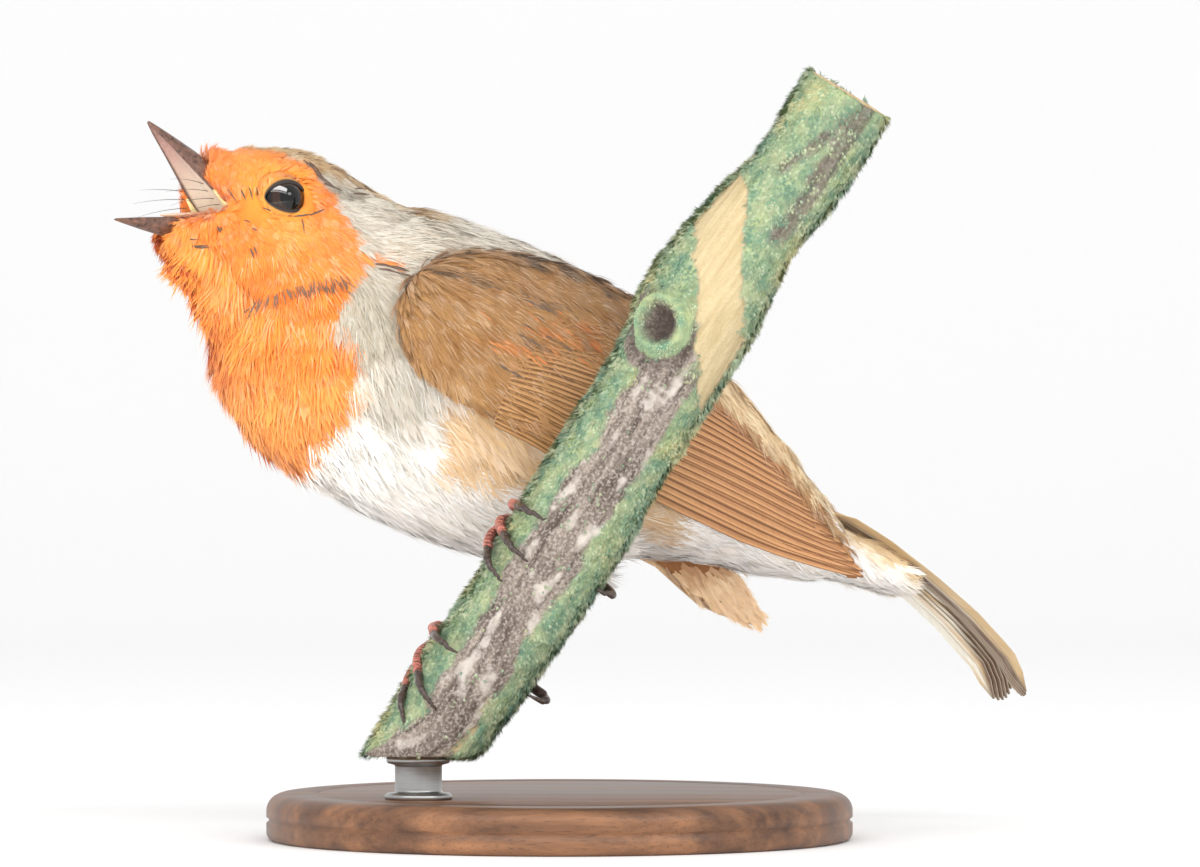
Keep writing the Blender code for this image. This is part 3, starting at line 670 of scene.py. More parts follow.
# Shoots hang down the branch in swirls, longer where it turns away, and pale on the knot's ring.
points, normals = points_of(bark), normals_of(bark)
up, around, off_line = on_branch_line(points)
row = np.interp(up, branch_length, BRANCH_ROWS).round().astype(int)
outline = ease(np.abs(around), 62.0, 92.0)
swirl = cloud(points, 3.0, 11.0)
droop = unit(-branch_along[row] * 0.5 + np.array([0.0, 0.0, -0.25]) + normals * 0.2
             + np.cross(branch_along[row], normals) * (0.9 * swirl)[:, None])
green = cloud(points, 2.2, 12.0)
olive = cloud(points, 6.0, 13.0)
moss_tint = MOSS_GREEN + np.outer(ease(green, -0.1, 0.5), srgb(182, 182, 146) - MOSS_GREEN)
moss_tint += np.outer(ease(-green, 0.0, 0.45), srgb(104, 136, 116) - MOSS_GREEN)
moss_tint += np.outer(0.75 * ease(olive, 0.0, 0.5), srgb(186, 174, 118) - moss_tint.mean(axis=0))
moss_tint += np.outer(0.85 * knot_ring, srgb(190, 198, 160) - moss_tint.mean(axis=0))
sparse = ease(bark_show, 0.0, 0.4) * ease(cloud(points, 2.0, 19.0), 0.0, 0.3) * 0.1
fill = np.clip(moss + sparse * (1 - band) * (1 - knot_heart), 0, 1) * (1 - ends)
reach = MOSS_LENGTH * (0.6 + 0.5 * outline) * (1 - 0.45 * knot_ring)
loft = 0.35 + 0.45 * outline + 0.25 * swirl
spots = np.stack([on_sheet((around + 180) / 360), on_sheet(np.clip(up / 110, 0, 1)), np.zeros_like(up)], 1)
keep_comb(bark, comb=droop, facing=normals, reach=reach * MM, loft=loft, fill=fill,
          patch=up > UPPER_MOSS_FROM, tint=np.clip(moss_tint, 0.01, 1.0), spot=spots)

moss_look, tree, shader = new_look("moss_shoots", 0.85)
tint, shade, strand, along = tuft_values(tree)
# Each shoot is painted darker blue-green toward its root: painted shade inside the cushion.
tone = mix(tree, spread(tree, along, 0.0, 0.9, 0.45, 0.0), tint, srgb(84, 120, 98))
tone = mix(tree, spread(tree, shade, 0.45, 1.0, 0.0, 0.55), tone, srgb(206, 216, 178))
tone = mix(tree, spread(tree, strand, 0.0, 0.35, 0.3, 0.0), tone, srgb(96, 132, 108))
paint(tree, shader, tone)
moss_tufts = [tuft_mesh(f"moss_tuft_{k}", (4, 0.07, 0.42), 0.0, 0.12, 40 + k) for k in range(4)]
moss_tree = scatter_tree("moss_scatter", moss_tufts, moss_look)
for patch, part in enumerate(("lower", "upper")):
    settings = {"Spacing": MOSS_SPACING * MM, "Patch": patch, "Width": 1.0, "Unruly": 0.8, "Seed": 7}
    put(scattered(f"moss_{part}", bark, moss_tree, settings), moss_look, "mossy_bark")
drop_comb(bark)


# ---- Skin -------------------------------------------------------------------------------------
# One skin from the bill to the tail's root and down each thigh, stretched over the carved body as
# in a mount. It lies under the tips of the coat by the coat's own depth, and thins to nothing at
# the bill, the gape and the eyes. It carries the bird's markings, and the comb of its feathers.

SIDES = ((-1, "left"), (1, "right"))
YAW_DEG, ROLL_DEG, NECK_TURN_DEG = 15.0, 10.0, 12.0
TURN_STARTS, TURN_ENDS = 62.0, 80.0
BIRD_PIVOT, NECK_PIVOT, SET_BACK = (-5.0, 0.0, 55.0), (-29.0, 0.0, 0.0), (0.0, 9.0, 0.0)
ROLL_AXIS = (-0.86, 0.0, 0.51)
SHORT_STEP = 0.05
SKIN_VOXEL, SKIN_SWELL = 0.46, 0.34
COVERT_REACH = 13.0
PART_NAMES = ("lores", "cheek", "nape", "shoulder", "breast", "flank", "rump")
PART_STARTS = (-47.5, -42.5, -36.5, -28.0, -14.0, 8.0)
TAIL_DROP = math.radians(34.5)
EYE_AT, EYE_RADIUS = np.array([-42.2, 7.1, 81.0]), 3.5
TAIL_START_AT = (35.83, 37.47)
# The tail's upper face: distance from its root, and height over the line that runs straight back.
TAIL_LEVELS = np.array([(-3, 4.2), (0, 4.6), (6, 4.9), (13.6, 4.5), (21.3, 3.6), (28.5, 1.9), (32.9, -0.6),
                        (34, -1.3)])
tail_back = np.array([math.cos(TAIL_DROP), 0.0, -math.sin(TAIL_DROP)])
tail_up = np.array([math.sin(TAIL_DROP), 0.0, math.cos(TAIL_DROP)])


def turned(points, axis, degrees, centre):
    """Points turned about an axis; degrees is one angle, or one for each point."""
    points = np.atleast_2d(points) - centre
    axis = unit(axis)
    angle = np.radians(np.broadcast_to(degrees, len(points)))[:, None]
    along = (points @ axis)[:, None] * axis
    across = np.cross(axis, points)
    return points * np.cos(angle) + across * np.sin(angle) + along * (1 - np.cos(angle)) + centre


def neck_share(points):
    """How much of the neck's turn each point takes, from none on the body to all on the head."""
    return ease(0.6 * points[:, 2] - 0.8 * points[:, 0], TURN_STARTS, TURN_ENDS)


def stood(points):
    """From the bird's own frame to where it stands."""
    points = np.atleast_2d(np.asarray(points, float))
    points = turned(points, (0, 0, 1), NECK_TURN_DEG * neck_share(points), NECK_PIVOT)
    points = turned(points, ROLL_AXIS, ROLL_DEG, BIRD_PIVOT)
    return turned(points, (0, 0, 1), YAW_DEG, BIRD_PIVOT) + SET_BACK


def in_bird(points):
    """From where the bird stands back to its own frame."""
    points = turned(np.atleast_2d(points) - SET_BACK, (0, 0, 1), -YAW_DEG, BIRD_PIVOT)
    points = turned(points, ROLL_AXIS, -ROLL_DEG, BIRD_PIVOT)
    found = points
    for _ in range(12):
        found = turned(points, (0, 0, 1), -NECK_TURN_DEG * neck_share(found), NECK_PIVOT)
    return found


def directions_stood(points, directions):
    """Directions at points of the bird's own frame, turned to where it stands."""
    step = SHORT_STEP * directions
    return unit(stood(points + step) - stood(points - step))


def surface_of(obj):
    """A piece's points and normals where the bird stands, and the same in the bird's own frame."""
    at, out = points_of(obj), normals_of(obj)
    own = in_bird(at)
    return at, out, own, unit(in_bird(at + SHORT_STEP * out) - own)


def flat_on(surface_out, way):
    """Directions laid flat on a surface."""
    return unit(way - surface_out * (way * surface_out).sum(1)[:, None])


def tree_of(*nodes):
    """A search tree of one or more solids as they lie in the bird's own frame."""
    points, faces = [], []
    for node in nodes:
        node_points, node_faces = node_mesh(node)
        faces += [tuple(len(points) + i for i in face) for face in node_faces]
        points += in_bird(node_points).tolist()
    return BVHTree.FromPolygons([Vector(p) for p in points], faces)


def away_from(search, points, most):
    """How far each point lies from a searched surface, up to the most that matters."""
    return np.array([search.find_nearest(Vector(p), most)[3] or most for p in points])


def covert_part():
    """The front of the tail, which the rump's long coverts clothe."""
    tail_points, tail_faces = node_mesh("tail")
    own = in_bird(tail_points)
    start = own[:, 0].min()
    shape = new_piece("coverts", tail_points, tail_faces)
    cutter = bmesh.new()
    cutter.from_mesh(shape.data)
    root = stood(np.array([[start, 0.0, own[own[:, 0] < start + 1][:, 2].mean()]]))[0]
    back = directions_stood(np.array([[start, 0.0, 37.0]]), tail_back)[0]
    whole = cutter.verts[:] + cutter.edges[:] + cutter.faces[:]
    bmesh.ops.bisect_plane(cutter, geom=whole, plane_co=Vector((root + COVERT_REACH * back) * MM),
                           plane_no=Vector(back), clear_outer=True)
    bmesh.ops.holes_fill(cutter, edges=[e for e in cutter.edges if e.is_boundary])
    points = np.array([v.co for v in cutter.verts]) / MM
    cutter.verts.index_update()
    faces = [tuple(v.index for v in f.verts) for f in cutter.faces]
    cutter.free()
    bpy.data.objects.remove(shape)
    return points, faces


flesh = [node_mesh(node) for node in ("trunk", "neck", "head", "thigh_left", "thigh_right")]
skin = remeshed("skin", [*flesh, covert_part()], SKIN_VOXEL, 8, swell=SKIN_SWELL)
skin_at, skin_out, own, own_out = surface_of(skin)

# The comb of the coat, seen from the side: x, z, the way its feathers point in degrees (0 toward
# the tail, 90 up), their length, and how far they stand off the skin in degrees.
COMB = np.array([(-52, 84, 122, 3.2, 42), (-50.5, 88.5, 108, 3.4, 44), (-46.5, 89, 66, 2.3, 26),
                 (-42, 88.8, 30, 2.3, 18), (-38, 88, 2, 2.6, 17), (-48.5, 82.5, 88, 1.6, 20),
                 (-46, 84, 62, 1.7, 18), (-42, 85.8, 24, 1.8, 18), (-37.5, 83, -18, 2.4, 18),
                 (-45.5, 78.2, -42, 1.8, 18), (-41, 77, -50, 2.2, 18), (-36.5, 78, -34, 2.8, 18),
                 (-34, 74, -40, 3.6, 20), (-49.5, 77, -75, 1.7, 20), (-56, 77.5, -146, 4.2, 50),
                 (-53, 74.5, -136, 6.4, 50), (-50, 70, -126, 7.2, 45), (-47.5, 66, -108, 5.6, 30),
                 (-46, 72.5, -92, 3, 22), (-40, 70.5, -66, 4.2, 21), (-42, 64, -86, 5.6, 19),
                 (-44.5, 57, -90, 6.2, 19), (-38, 57, -76, 6.4, 18), (-34, 65, -78, 5.4, 19),
                 (-38, 50, -58, 6.6, 20), (-33, 52, -56, 6.6, 19), (-31, 81, -16, 4.4, 19),
                 (-32, 86.5, -24, 3.6, 19), (-28, 76, -14, 5.6, 19), (-20, 81, -28, 6.2, 18),
                 (-8, 77, -28, 6.4, 17), (6, 70, -34, 6.4, 16), (20, 57, -42, 6.4, 13), (32, 44, -40, 5, 5),
                 (42, 38, -34, 4.5, 2), (-29, 59, -64, 6.4, 19), (-24, 49, -42, 6.8, 19),
                 (-18, 50, -50, 6.8, 18), (-14, 41, -22, 7, 18), (-6, 45, -30, 7, 17), (4, 36, -16, 7, 16),
                 (16, 32, -20, 7, 15), (30, 29, -30, 7, 10), (42, 27, -36, 7, 6)])


def combed(flat, comb=COMB):
    """Direction, length and stand-off at places of the side view: near rows of a comb count for more."""
    gap = flat[:, None, :] - comb[None, :, :2]
    weight = 1.0 / ((gap ** 2).sum(2) + 1.5) ** 2
    weight = weight / weight.sum(1)[:, None]
    turn = np.radians(comb[:, 2])
    way = np.stack([weight @ np.cos(turn), np.zeros(len(flat)), weight @ np.sin(turn)], 1)
    return unit(way), weight @ comb[:, 3], np.radians(weight @ comb[:, 4])


def inside_outline(x, z, outline):
    """Signed distance in the side view to a closed outline, above 0 inside it."""
    inside = np.zeros(len(x), bool)
    for (ax, az), (bx, bz) in zip(outline, outline[1:] + outline[:1]):
        crosses = (az > z) != (bz > z)
        inside ^= crosses & (x < (z - az) / (bz - az + 1e-12) * (bx - ax) + ax)
    best = from_path(x, z, outline + outline[:1])
    return np.where(inside, best, -best)


def from_path(x, z, path):
    """Distance in the side view from a path."""
    best = np.full(len(x), 1e9)
    for (ax, az), (bx, bz) in zip(path[:-1], path[1:]):
        along_x, along_z = bx - ax, bz - az
        t = np.clip(((x - ax) * along_x + (z - az) * along_z) / (along_x ** 2 + along_z ** 2 + 1e-9), 0, 1)
        best = np.minimum(best, np.hypot(x - ax - t * along_x, z - az - t * along_z))
    return best


def lay(under, share, tone):
    """Colours with a share of another tone laid over each."""
    return under + (np.array(tone) - under) * np.clip(share, 0, 1)[:, None]


def opaque(colours):
    """Colours with the fourth value that a mesh keeps beside them."""
    return np.hstack([colours, np.ones((len(colours), 1))])


def unwrap(obj, spots):
    """Lays a mesh out flat for baking, each point at its own spot."""
    layer = obj.data.uv_layers.new(name="OFBake")
    corners = np.zeros(len(obj.data.loops), np.int32)
    obj.data.loops.foreach_get("vertex_index", corners)
    layer.data.foreach_set("uv", np.asarray(spots, np.float32)[corners].ravel())


# Outlines of the coat's fields in the side view, each point x, z: the orange bib from brow to breast,
# the buff flank, the buff rump, and the brown nape.
BIB = [(-46, 93), (-43.6, 88.6), (-41, 87.7), (-38.3, 86.6), (-37.2, 84.6), (-35.4, 81.4), (-33.6, 78.2),
       (-31.6, 75.6), (-31.8, 73.2), (-33.6, 69.6), (-35.3, 64), (-33.8, 62.4), (-32.2, 61.2), (-32.2, 58),
       (-33, 54.5), (-35.4, 50.6), (-36.6, 47.6), (-38, 45), (-60, 45), (-72, 60), (-72, 95), (-55, 98)]
FLANK = [(-22.6, 55.5), (-21.4, 45.6), (-14, 43.8), (-6, 41), (6, 37.6), (14, 36.8), (12, 42.5), (0, 47),
         (-9, 51), (-15, 53.5)]
RUMP = [(8, 64), (17, 54), (24, 47.8), (31, 43.6), (36, 40.7), (38, 39.4), (45.6, 33.2), (52, 27), (58, 32),
        (38, 54), (14, 72)]
NAPE = [(-44.5, 88), (-41, 87.4), (-38.2, 86.6), (-36.8, 85.6), (-32.5, 84.6), (-26, 82.6), (-17, 79.6),
        (-15, 84), (-30, 93), (-44, 93)]
# Two short marks: a grey-brown line of painted shade behind the eye, and the bib's own colour
# drawn out at its corner.
EYE_SHADE_LINE = [(-37.6, 84.6), (-36, 82.4), (-30, 82)]
BIB_CORNER = [(-31.8, 73.5), (-28.6, 73.7), (-25.6, 72.8)]
# Round patches of the breast's orange: middle, reach, full core, strength and tone.
ORANGE_PATCHES = [((-42, 76.5), 5, 1.5, 0.8, srgb(245, 158, 70)), ((-35, 74), 5, 1, 0.6, srgb(244, 140, 66)),
                  ((-46, 71), 4.5, 1, 0.55, srgb(243, 132, 56))]
# Soft grey streaks of painted shade down the side of breast and belly: path, width and strength.
GREY_SHADE_MARKS = [([(-28.5, 60), (-25, 55.5), (-22.5, 50.5)], 1.6, 0.5),
              ([(-31, 58.5), (-28.5, 52), (-25, 47)], 1.5, 0.55),
              ([(-34.5, 51), (-29, 47.5), (-22, 45.2)], 1.1, 0.5),
              ([(-32, 48.6), (-26, 44.2), (-18, 41.5), (-9, 39)], 0.7, 0.4),
              ([(-21, 44.8), (-14, 42.8), (-9, 41.6)], 0.8, 0.35)]


def painted(points):
    """The coat's colour at points of the bird's own frame, the same on both sides."""
    x, z = points[:, 0], points[:, 2]
    rough = cloud(points, 1.3, 3.0)
    broad = cloud(points, 6.0, 4.0)
    coarse = cloud(points, 2.6, 6.0)
    colour = np.tile(srgb(252, 250, 247), (len(points), 1))
    # Painted shade: grey streaks down the side of breast and belly.
    for path, wide, strength in GREY_SHADE_MARKS:
        near = ease(-from_path(x, z, path) + 0.5 * coarse, -wide, -0.2 * wide)
        colour = lay(colour, strength * near * (0.7 + 0.5 * rough), srgb(186, 181, 168))
    flank = ease(inside_outline(x, z, FLANK) + 0.7 * rough + 0.5 * coarse, -0.6, 0.8)
    colour = lay(colour, flank * (0.82 + 0.4 * rough), srgb(218, 180, 126))
    upper = np.interp(x, [-60.0, -35.4, -33.4, -28.5, -24.5, -10.0, 10.0, 20.0, 32.0, 40.0, 60.0],
                      [64.0, 63.4, 52.5, 57.0, 62.5, 52.0, 46.0, 44.5, 43.5, 41.0, 28.0])
    grey = ease(z - upper + 0.8 * rough + 0.6 * coarse, -1.0, 1.2)
    colour = lay(colour, grey, srgb(231, 224, 211))
    colour = lay(colour, grey * ease(-x, 6.0, 20.0) * ease(z, 62.0, 72.0) * 0.7, srgb(194, 186, 170))
    colour = lay(colour, grey * ease(-np.hypot(x + 32.0, z - 65.0), -9.0, -4.0) * 0.9, srgb(180, 172, 154))
    colour = lay(colour, ease(-np.hypot(x + 27.0, z - 55.0), -8.0, -2.0) * 0.85, srgb(186, 178, 162))
    colour = lay(colour, grey * ease(coarse, 0.05, 0.6) * 0.35, srgb(190, 182, 167))
    # Painted shade: a grey-brown line behind the eye.
    shade_behind_eye = ease(-from_path(x, z, EYE_SHADE_LINE), -1.3, -0.3)
    colour = lay(colour, grey * shade_behind_eye * 0.6, srgb(136, 126, 110))
    rump = ease(inside_outline(x, z, RUMP) + 0.6 * rough, -0.9, 0.9) * ease(x + 3.0 * coarse, 9.0, 20.0)
    colour = lay(colour, rump, srgb(240, 216, 174))
    nape = ease(inside_outline(x, z, NAPE) + 0.5 * rough + 0.4 * coarse, -0.7, 0.6)
    colour = lay(colour, nape, srgb(204, 172, 124))
    colour = lay(colour, nape * ease(coarse + rough, 0.0, 0.8) * 0.8, srgb(158, 126, 84))
    bib = inside_outline(x, z, BIB) + 0.55 * rough + 0.35 * coarse
    crown = ease(z - 87.6 - 0.16 * (x + 43.0), -0.2, 0.5) * ease(-np.abs(points[:, 1]), -4.4, -3.0)
    crown *= ease(x, -44.6, -43.0)
    bib = ease(bib, -0.45, 0.45) * (1 - crown)
    orange = np.tile(srgb(246, 141, 56), (len(points), 1))
    orange = lay(orange, ease(-z, -63.0, -50.0) * 0.5, srgb(240, 172, 98))
    orange = lay(orange, ease(-np.hypot(x + 43.0, (z - 83.0) * 0.8), -6.5, -2.0) * 0.7, srgb(247, 168, 64))
    for (at_x, at_z), reach, core, strength, patch_tone in ORANGE_PATCHES:
        near = ease(-np.hypot(x - at_x, z - at_z), -reach, -core)
        orange = lay(orange, near * strength, patch_tone)
    chin = ease(-x - 0.55 * (z - 74.0), 49.6, 53.0) * ease(-z, -80.0, -77.5)
    orange = lay(orange, chin * 0.5, srgb(248, 168, 78))
    orange = lay(orange, ease(broad + 0.5 * coarse, 0.1, 0.6) * 0.35, srgb(248, 166, 84))
    orange = lay(orange, ease(-broad + 0.5 * rough, 0.15, 0.6) * 0.4, srgb(238, 126, 52))
    colour = lay(colour, bib, orange)
    return lay(colour, ease(-from_path(x, z, BIB_CORNER), -0.75, -0.35), srgb(243, 150, 72))


# Feathers are shortest at the bill and round the eyes, and lie close on the tail's root and the thighs.
way, reach, loft = combed(own[:, [0, 2]])
bare_parts = tree_of("bill_upper", "bill_lower", "mouth")
wing_parts = tree_of("wing_left", "wing_right")
eye_gap = np.hypot(own[:, 0] - EYE_AT[0], (own[:, 2] - EYE_AT[2]) * 1.3)
eye_gap = np.where(np.abs(own[:, 1]) > 3.0, eye_gap, 9.0)
bill_gap = np.full(len(own), 6.0)
near_bill = own[:, 0] < -42.0
bill_gap[near_bill] = away_from(bare_parts, own[near_bill], 6.0)
close = ease(bill_gap, 0.4, 3.2) * ease(eye_gap, 2.6, 6.0)
shorten = 0.45 + 0.55 * ease(bill_gap, 0.3, 3.0) * ease(eye_gap, 2.8, 4.8)
shorten = np.maximum(shorten, 0.95 * ease(own[:, 2], 85.0, 87.5))
reach = reach * shorten
tail_at = own - np.array([TAIL_START_AT[0], 0.0, TAIL_START_AT[1]])
tail_reach, tail_rise = tail_at @ tail_back, tail_at @ tail_up
on_tail = ease(tail_reach, -5.0, 1.0)
reach = reach * (1 - on_tail) + np.minimum(reach, 4.4) * on_tail
loft = loft * (1 - on_tail) + np.radians(11.0) * on_tail
way = unit(way * (1 - on_tail)[:, None] + tail_back * on_tail[:, None])
thigh = ease(-own[:, 2] - 0.2 * own[:, 0], -31.0, -27.0) * (own[:, 0] < 14.0)
reach = reach * (1 - 0.66 * thigh)
loft = loft * (1 - 0.55 * thigh)

# The skin sinks by the depth of the coat that will lie on it.
depth = np.minimum(reach * np.sin(loft) * 0.92, 2.4) * close
depth = depth + ease(tail_reach, -2.0, 3.0) * (0.7 * np.abs(own_out[:, 1]) + 0.1)
way = flat_on(own_out, way)
set_points(skin, skin_at - skin_out * depth[:, None])
skin_comb = directions_stood(own, way)
smear = own + way * (0.5 * reach)[:, None]

# No feathers grow under a folded wing, in the sockets, at the gape or between the tail's quills.
wing_gap = away_from(wing_parts, own, 8.0)
covered = np.zeros(len(own))
for i in np.flatnonzero((wing_gap < 6.5) & (own[:, 0] > -30.0)):
    sideways = Vector((0.0, np.sign(own[i, 1]), 0.0))
    hits = [wing_parts.ray_cast(Vector(own[i] - 0.5 * own_out[i] - [0.0, 0.0, lower]), sideways, 14.0)
            for lower in (0.0, 2.6)]
    covered[i] = all(hit[0] is not None for hit in hits)
fill = 1.0 - covered
fill *= ease(eye_gap, 3.0, 3.25) * ease(bill_gap, 0.15, 0.4)
from_eye = (own - [EYE_AT[0], 0.0, EYE_AT[2]]) * [1.0, 0.0, 1.0]
socket_wall = ease(-(unit(from_eye) * own_out).sum(1), 0.02, 0.3) * (np.linalg.norm(from_eye, axis=1) < 5.6)
fill *= 1 - socket_wall * (np.abs(own[:, 1]) > 3.0)
corner_gap = np.hypot(own[:, 0] + 46.9, own[:, 2] - 79.5)
fill *= 1 - ease(-corner_gap, -2.3, -1.7) * (np.abs(own[:, 1]) > 2.5)
quill_level = np.interp(tail_reach, TAIL_LEVELS[:, 0], TAIL_LEVELS[:, 1])
below_quills = ease(-(tail_rise - quill_level), 0.2, 0.8) * ease(-tail_reach, -12.5, -9.5)
above_quills = ease(own_out @ tail_up, 0.3, 0.6) * ease(-tail_reach, -5.0, -3.0)
fill *= np.where(tail_reach > -1.5, np.maximum(below_quills, above_quills), 1.0)

# The skin is unrolled round the body's middle line, and the coat is parted from the bill back.
angle = np.arctan2(-own[:, 1], own[:, 2] - np.interp(own[:, 0], [-55, -40, -20, 0, 20, 36, 52],
                                                     [83, 77, 62, 53, 44, 36, 26]))
spots = np.stack([on_sheet(angle / (2 * math.pi) + 0.5),
                  on_sheet(np.clip((own[:, 0] + 60) / 115, 0, 1)), np.zeros_like(angle)], 1)
patch = np.searchsorted(PART_STARTS, own[:, 0], side="right") + len(PART_NAMES) * (own[:, 1] > 0)
keep_comb(skin, comb=skin_comb, facing=skin_out, reach=reach * MM, loft=loft, fill=fill, patch=patch,
          tint=painted(smear), spot=spots)
store(skin, "markings", "FLOAT_COLOR", opaque(painted(own)))
unwrap(skin, spots[:, :2])

skin_look, tree, shader = new_look("skin_under_coat", 0.9)
markings = kept(tree, "markings", "Color")
down = grain(tree, object_place(tree), 3200.0, 3.0, 0.6)
dimmed = times(tree, markings, (0.84, 0.78, 0.72))
paint(tree, shader, mix(tree, down, dimmed, mix(tree, 0.35, dimmed, markings)))
relief(tree, shader, down, 0.4)


# ---- Coat -------------------------------------------------------------------------------------
# The body's contour feathers: each a thin soft leaf with loose fine barbs at its edge. They overlap
# like tiles along the comb, tiny round the eyes and bill, long and loose on breast and belly.

plumage, tree, shader = new_look("body_plumage", 0.85)
shader.inputs["Sheen Weight"].default_value = 0.15
shader.inputs["Sheen Roughness"].default_value = 0.6
tint, shade, strand, along = tuft_values(tree)
deeper = times(tree, tint, (0.86, 0.76, 0.66))
paler = mix(tree, 0.25, tint, (1.0, 0.96, 0.88))
tone = mix(tree, spread(tree, strand, 0.0, 0.4, 0.75, 0.0), tint, deeper)
tone = mix(tree, spread(tree, strand, 0.72, 1.0, 0.0, 0.75), tone, paler)
tone = mix(tree, spread(tree, shade, 0.0, 0.3, 0.45, 0.0), tone, deeper)
tone = mix(tree, spread(tree, shade, 0.75, 1.0, 0.0, 0.4), tone, paler)
# Each tuft is painted darker toward its root: painted shade where the tufts overlap.
tone = mix(tree, spread(tree, along, 0.0, 0.4, 0.2, 0.0), tone, deeper)
paint(tree, shader, tone)

fine_tufts = [tuft_mesh(f"face_tuft_{k}", (7, 0.034, 0.24), 0.13, 0.1, 60 + k) for k in range(4)]
long_tufts = [tuft_mesh(f"body_tuft_{k}", (9, 0.017, 0.18), 0.12, 0.2, 80 + k) for k in range(4)]
face_tree = scatter_tree("face_scatter", fine_tufts, plumage)
body_tree = scatter_tree("body_scatter", long_tufts, plumage)
FACE_SPACING = (0.30, 0.31, 0.36)
BODY_SPACING = (0.42, 0.45, 0.48, 0.52)
for side_index, (side, side_name) in enumerate(SIDES):
    for part, part_name in enumerate(PART_NAMES):
        if part < len(FACE_SPACING):
            grow_with, spacing, unruly = face_tree, FACE_SPACING[part], 0.3
        else:
            grow_with, spacing, unruly = body_tree, BODY_SPACING[part - len(FACE_SPACING)], 0.26
        settings = {"Spacing": spacing * MM, "Patch": part + len(PART_NAMES) * side_index, "Width": 1.0,
                    "Unruly": unruly, "Seed": 11 + part}
        piece = scattered(f"coat_{part_name}_{side_name}", skin, grow_with, settings)
        put(piece, plumage, "belly_feathers" if part_name in ("flank", "rump") else "breast_feathers")
drop_comb(skin)
put(skin, skin_look, "belly_feathers", "trunk", "neck", "head", "thigh_left", "thigh_right")


# ---- Dark plumes ------------------------------------------------------------------------------
# Single narrow dark barbs that lie on top of the coat, painted shade as where feathers part:
# across the throat, round the eye and the gape, behind the cheek and along the edge of the shoulder.

THROAT_LINE = [(-47.8, 65.4), (-45.2, 67.3), (-40.7, 68.5), (-36.5, 69.2), (-33, 69.7)]
# Each row: a path in the side view, how wide each plume is, how long, and which way they lie:
# "along" the path as one stroke, or "hatch" for short plumes set across it by the coat's own comb.
SHADE_PLUMES = [(THROAT_LINE, 0.09, 2.1, "hatch", srgb(112, 80, 60)),
          ([(-40, 68.2), (-36, 68.9), (-32.6, 69.3)], 0.08, 1.5, "hatch", srgb(92, 68, 56)),
          ([(-31.6, 72.5), (-28, 71.9), (-25, 71)], 0.2, 2.4, "along"),
          ([(-31, 71.9), (-27.6, 71.2), (-24.4, 70.2)], 0.15, 2.2, "along"),
          ([(-38.2, 86.4), (-37.4, 84.8), (-36.4, 83.4)], 0.22, 1.8, "along"),
          ([(-37.6, 86.2), (-36.7, 84.3)], 0.2, 1.6, "along"),
          ([(-37.4, 84.2), (-35.6, 82.9), (-33.2, 82.6)], 0.2, 2, "along"),
          ([(-35, 83.4), (-31.6, 82.9), (-29, 83)], 0.14, 1.8, "along"),
          ([(-36.6, 83.2), (-34, 82.3), (-31, 82.1), (-28.8, 82.2)], 0.18, 2.4, "along"),
          ([(-35.6, 82.2), (-32.5, 81.6)], 0.14, 2, "along"),
          ([(-45.6, 79.6), (-43.6, 78.8), (-41.6, 78.5)], 0.1, 2, "along"),
          ([(-41.6, 78.5), (-39.3, 78.7), (-37.1, 79.6)], 0.14, 2.2, "along"),
          ([(-40.7, 78.3), (-40.4, 76.3)], 0.08, 2, "along"),
          ([(-39.2, 78.4), (-38.6, 76.9)], 0.07, 1.6, "along"),
          ([(-47.4, 82.3), (-47.2, 80.6)], 0.1, 1.6, "along"),
          ([(-46.6, 82.5), (-46.5, 80.6)], 0.1, 1.8, "along"),
          ([(-45.8, 82.4), (-45.7, 80.7)], 0.09, 1.6, "along"),
          ([(-45, 82), (-44.9, 80.9)], 0.07, 1.2, "along"),
          ([(-49.2, 83.6), (-48.7, 81.8), (-48.2, 80.2)], 0.13, 3.4, "along"),
          ([(-50.6, 77.5), (-50.1, 76.6)], 0.13, 0.9, "along"),
          ([(-50.3, 77.5), (-49.9, 76.8)], 0.1, 0.8, "along"),
          ([(-46.9, 74.6), (-46.4, 73.3)], 0.11, 1.3, "along"),
          ([(-46.6, 74.8), (-46.2, 73.7)], 0.08, 1.1, "along"),
          ([(-47.7, 78.1), (-46.9, 77.7)], 0.1, 0.9, "along"),
          ([(-46.9, 77), (-46.3, 76.6)], 0.09, 0.8, "along"),
          ([(-53.4, 76.4), (-52.2, 76.1)], 0.09, 1.3, "along"),
          ([(-52.6, 75.5), (-51, 75.2)], 0.1, 1.6, "along"),
          ([(-52.3, 75.2), (-50.9, 74.9)], 0.08, 1.5, "along"),
          ([(-45.2, 71.5), (-44.6, 69.6)], 0.11, 1.9, "along"),
          ([(-46.6, 70), (-46.2, 68.6)], 0.1, 1.4, "along")]

PLUME_ROWS = 7
PLUME_ABOVE, PLUME_SINK = 0.42, 0.12
PLUME_SHADE_TONE = srgb(70, 56, 48)
SIGHT_FROM = 60.0


def grid_faces(rows, columns, closed):
    """Quads of a grid of points kept row by row; closed joins each row's end to its start."""
    faces = []
    for i in range(rows - 1):
        for j in range(columns if closed else columns - 1):
            k = (j + 1) % columns
            faces.append((i * columns + j, i * columns + k, (i + 1) * columns + k, (i + 1) * columns + j))
    return faces


def from_side(search, side, x, z):
    """Where a line of sight from this side of the bird meets a searched surface, and the normal there."""
    return search.ray_cast(Vector((x, side * SIGHT_FROM, z)), Vector((0.0, -side, 0.0)))[:2]


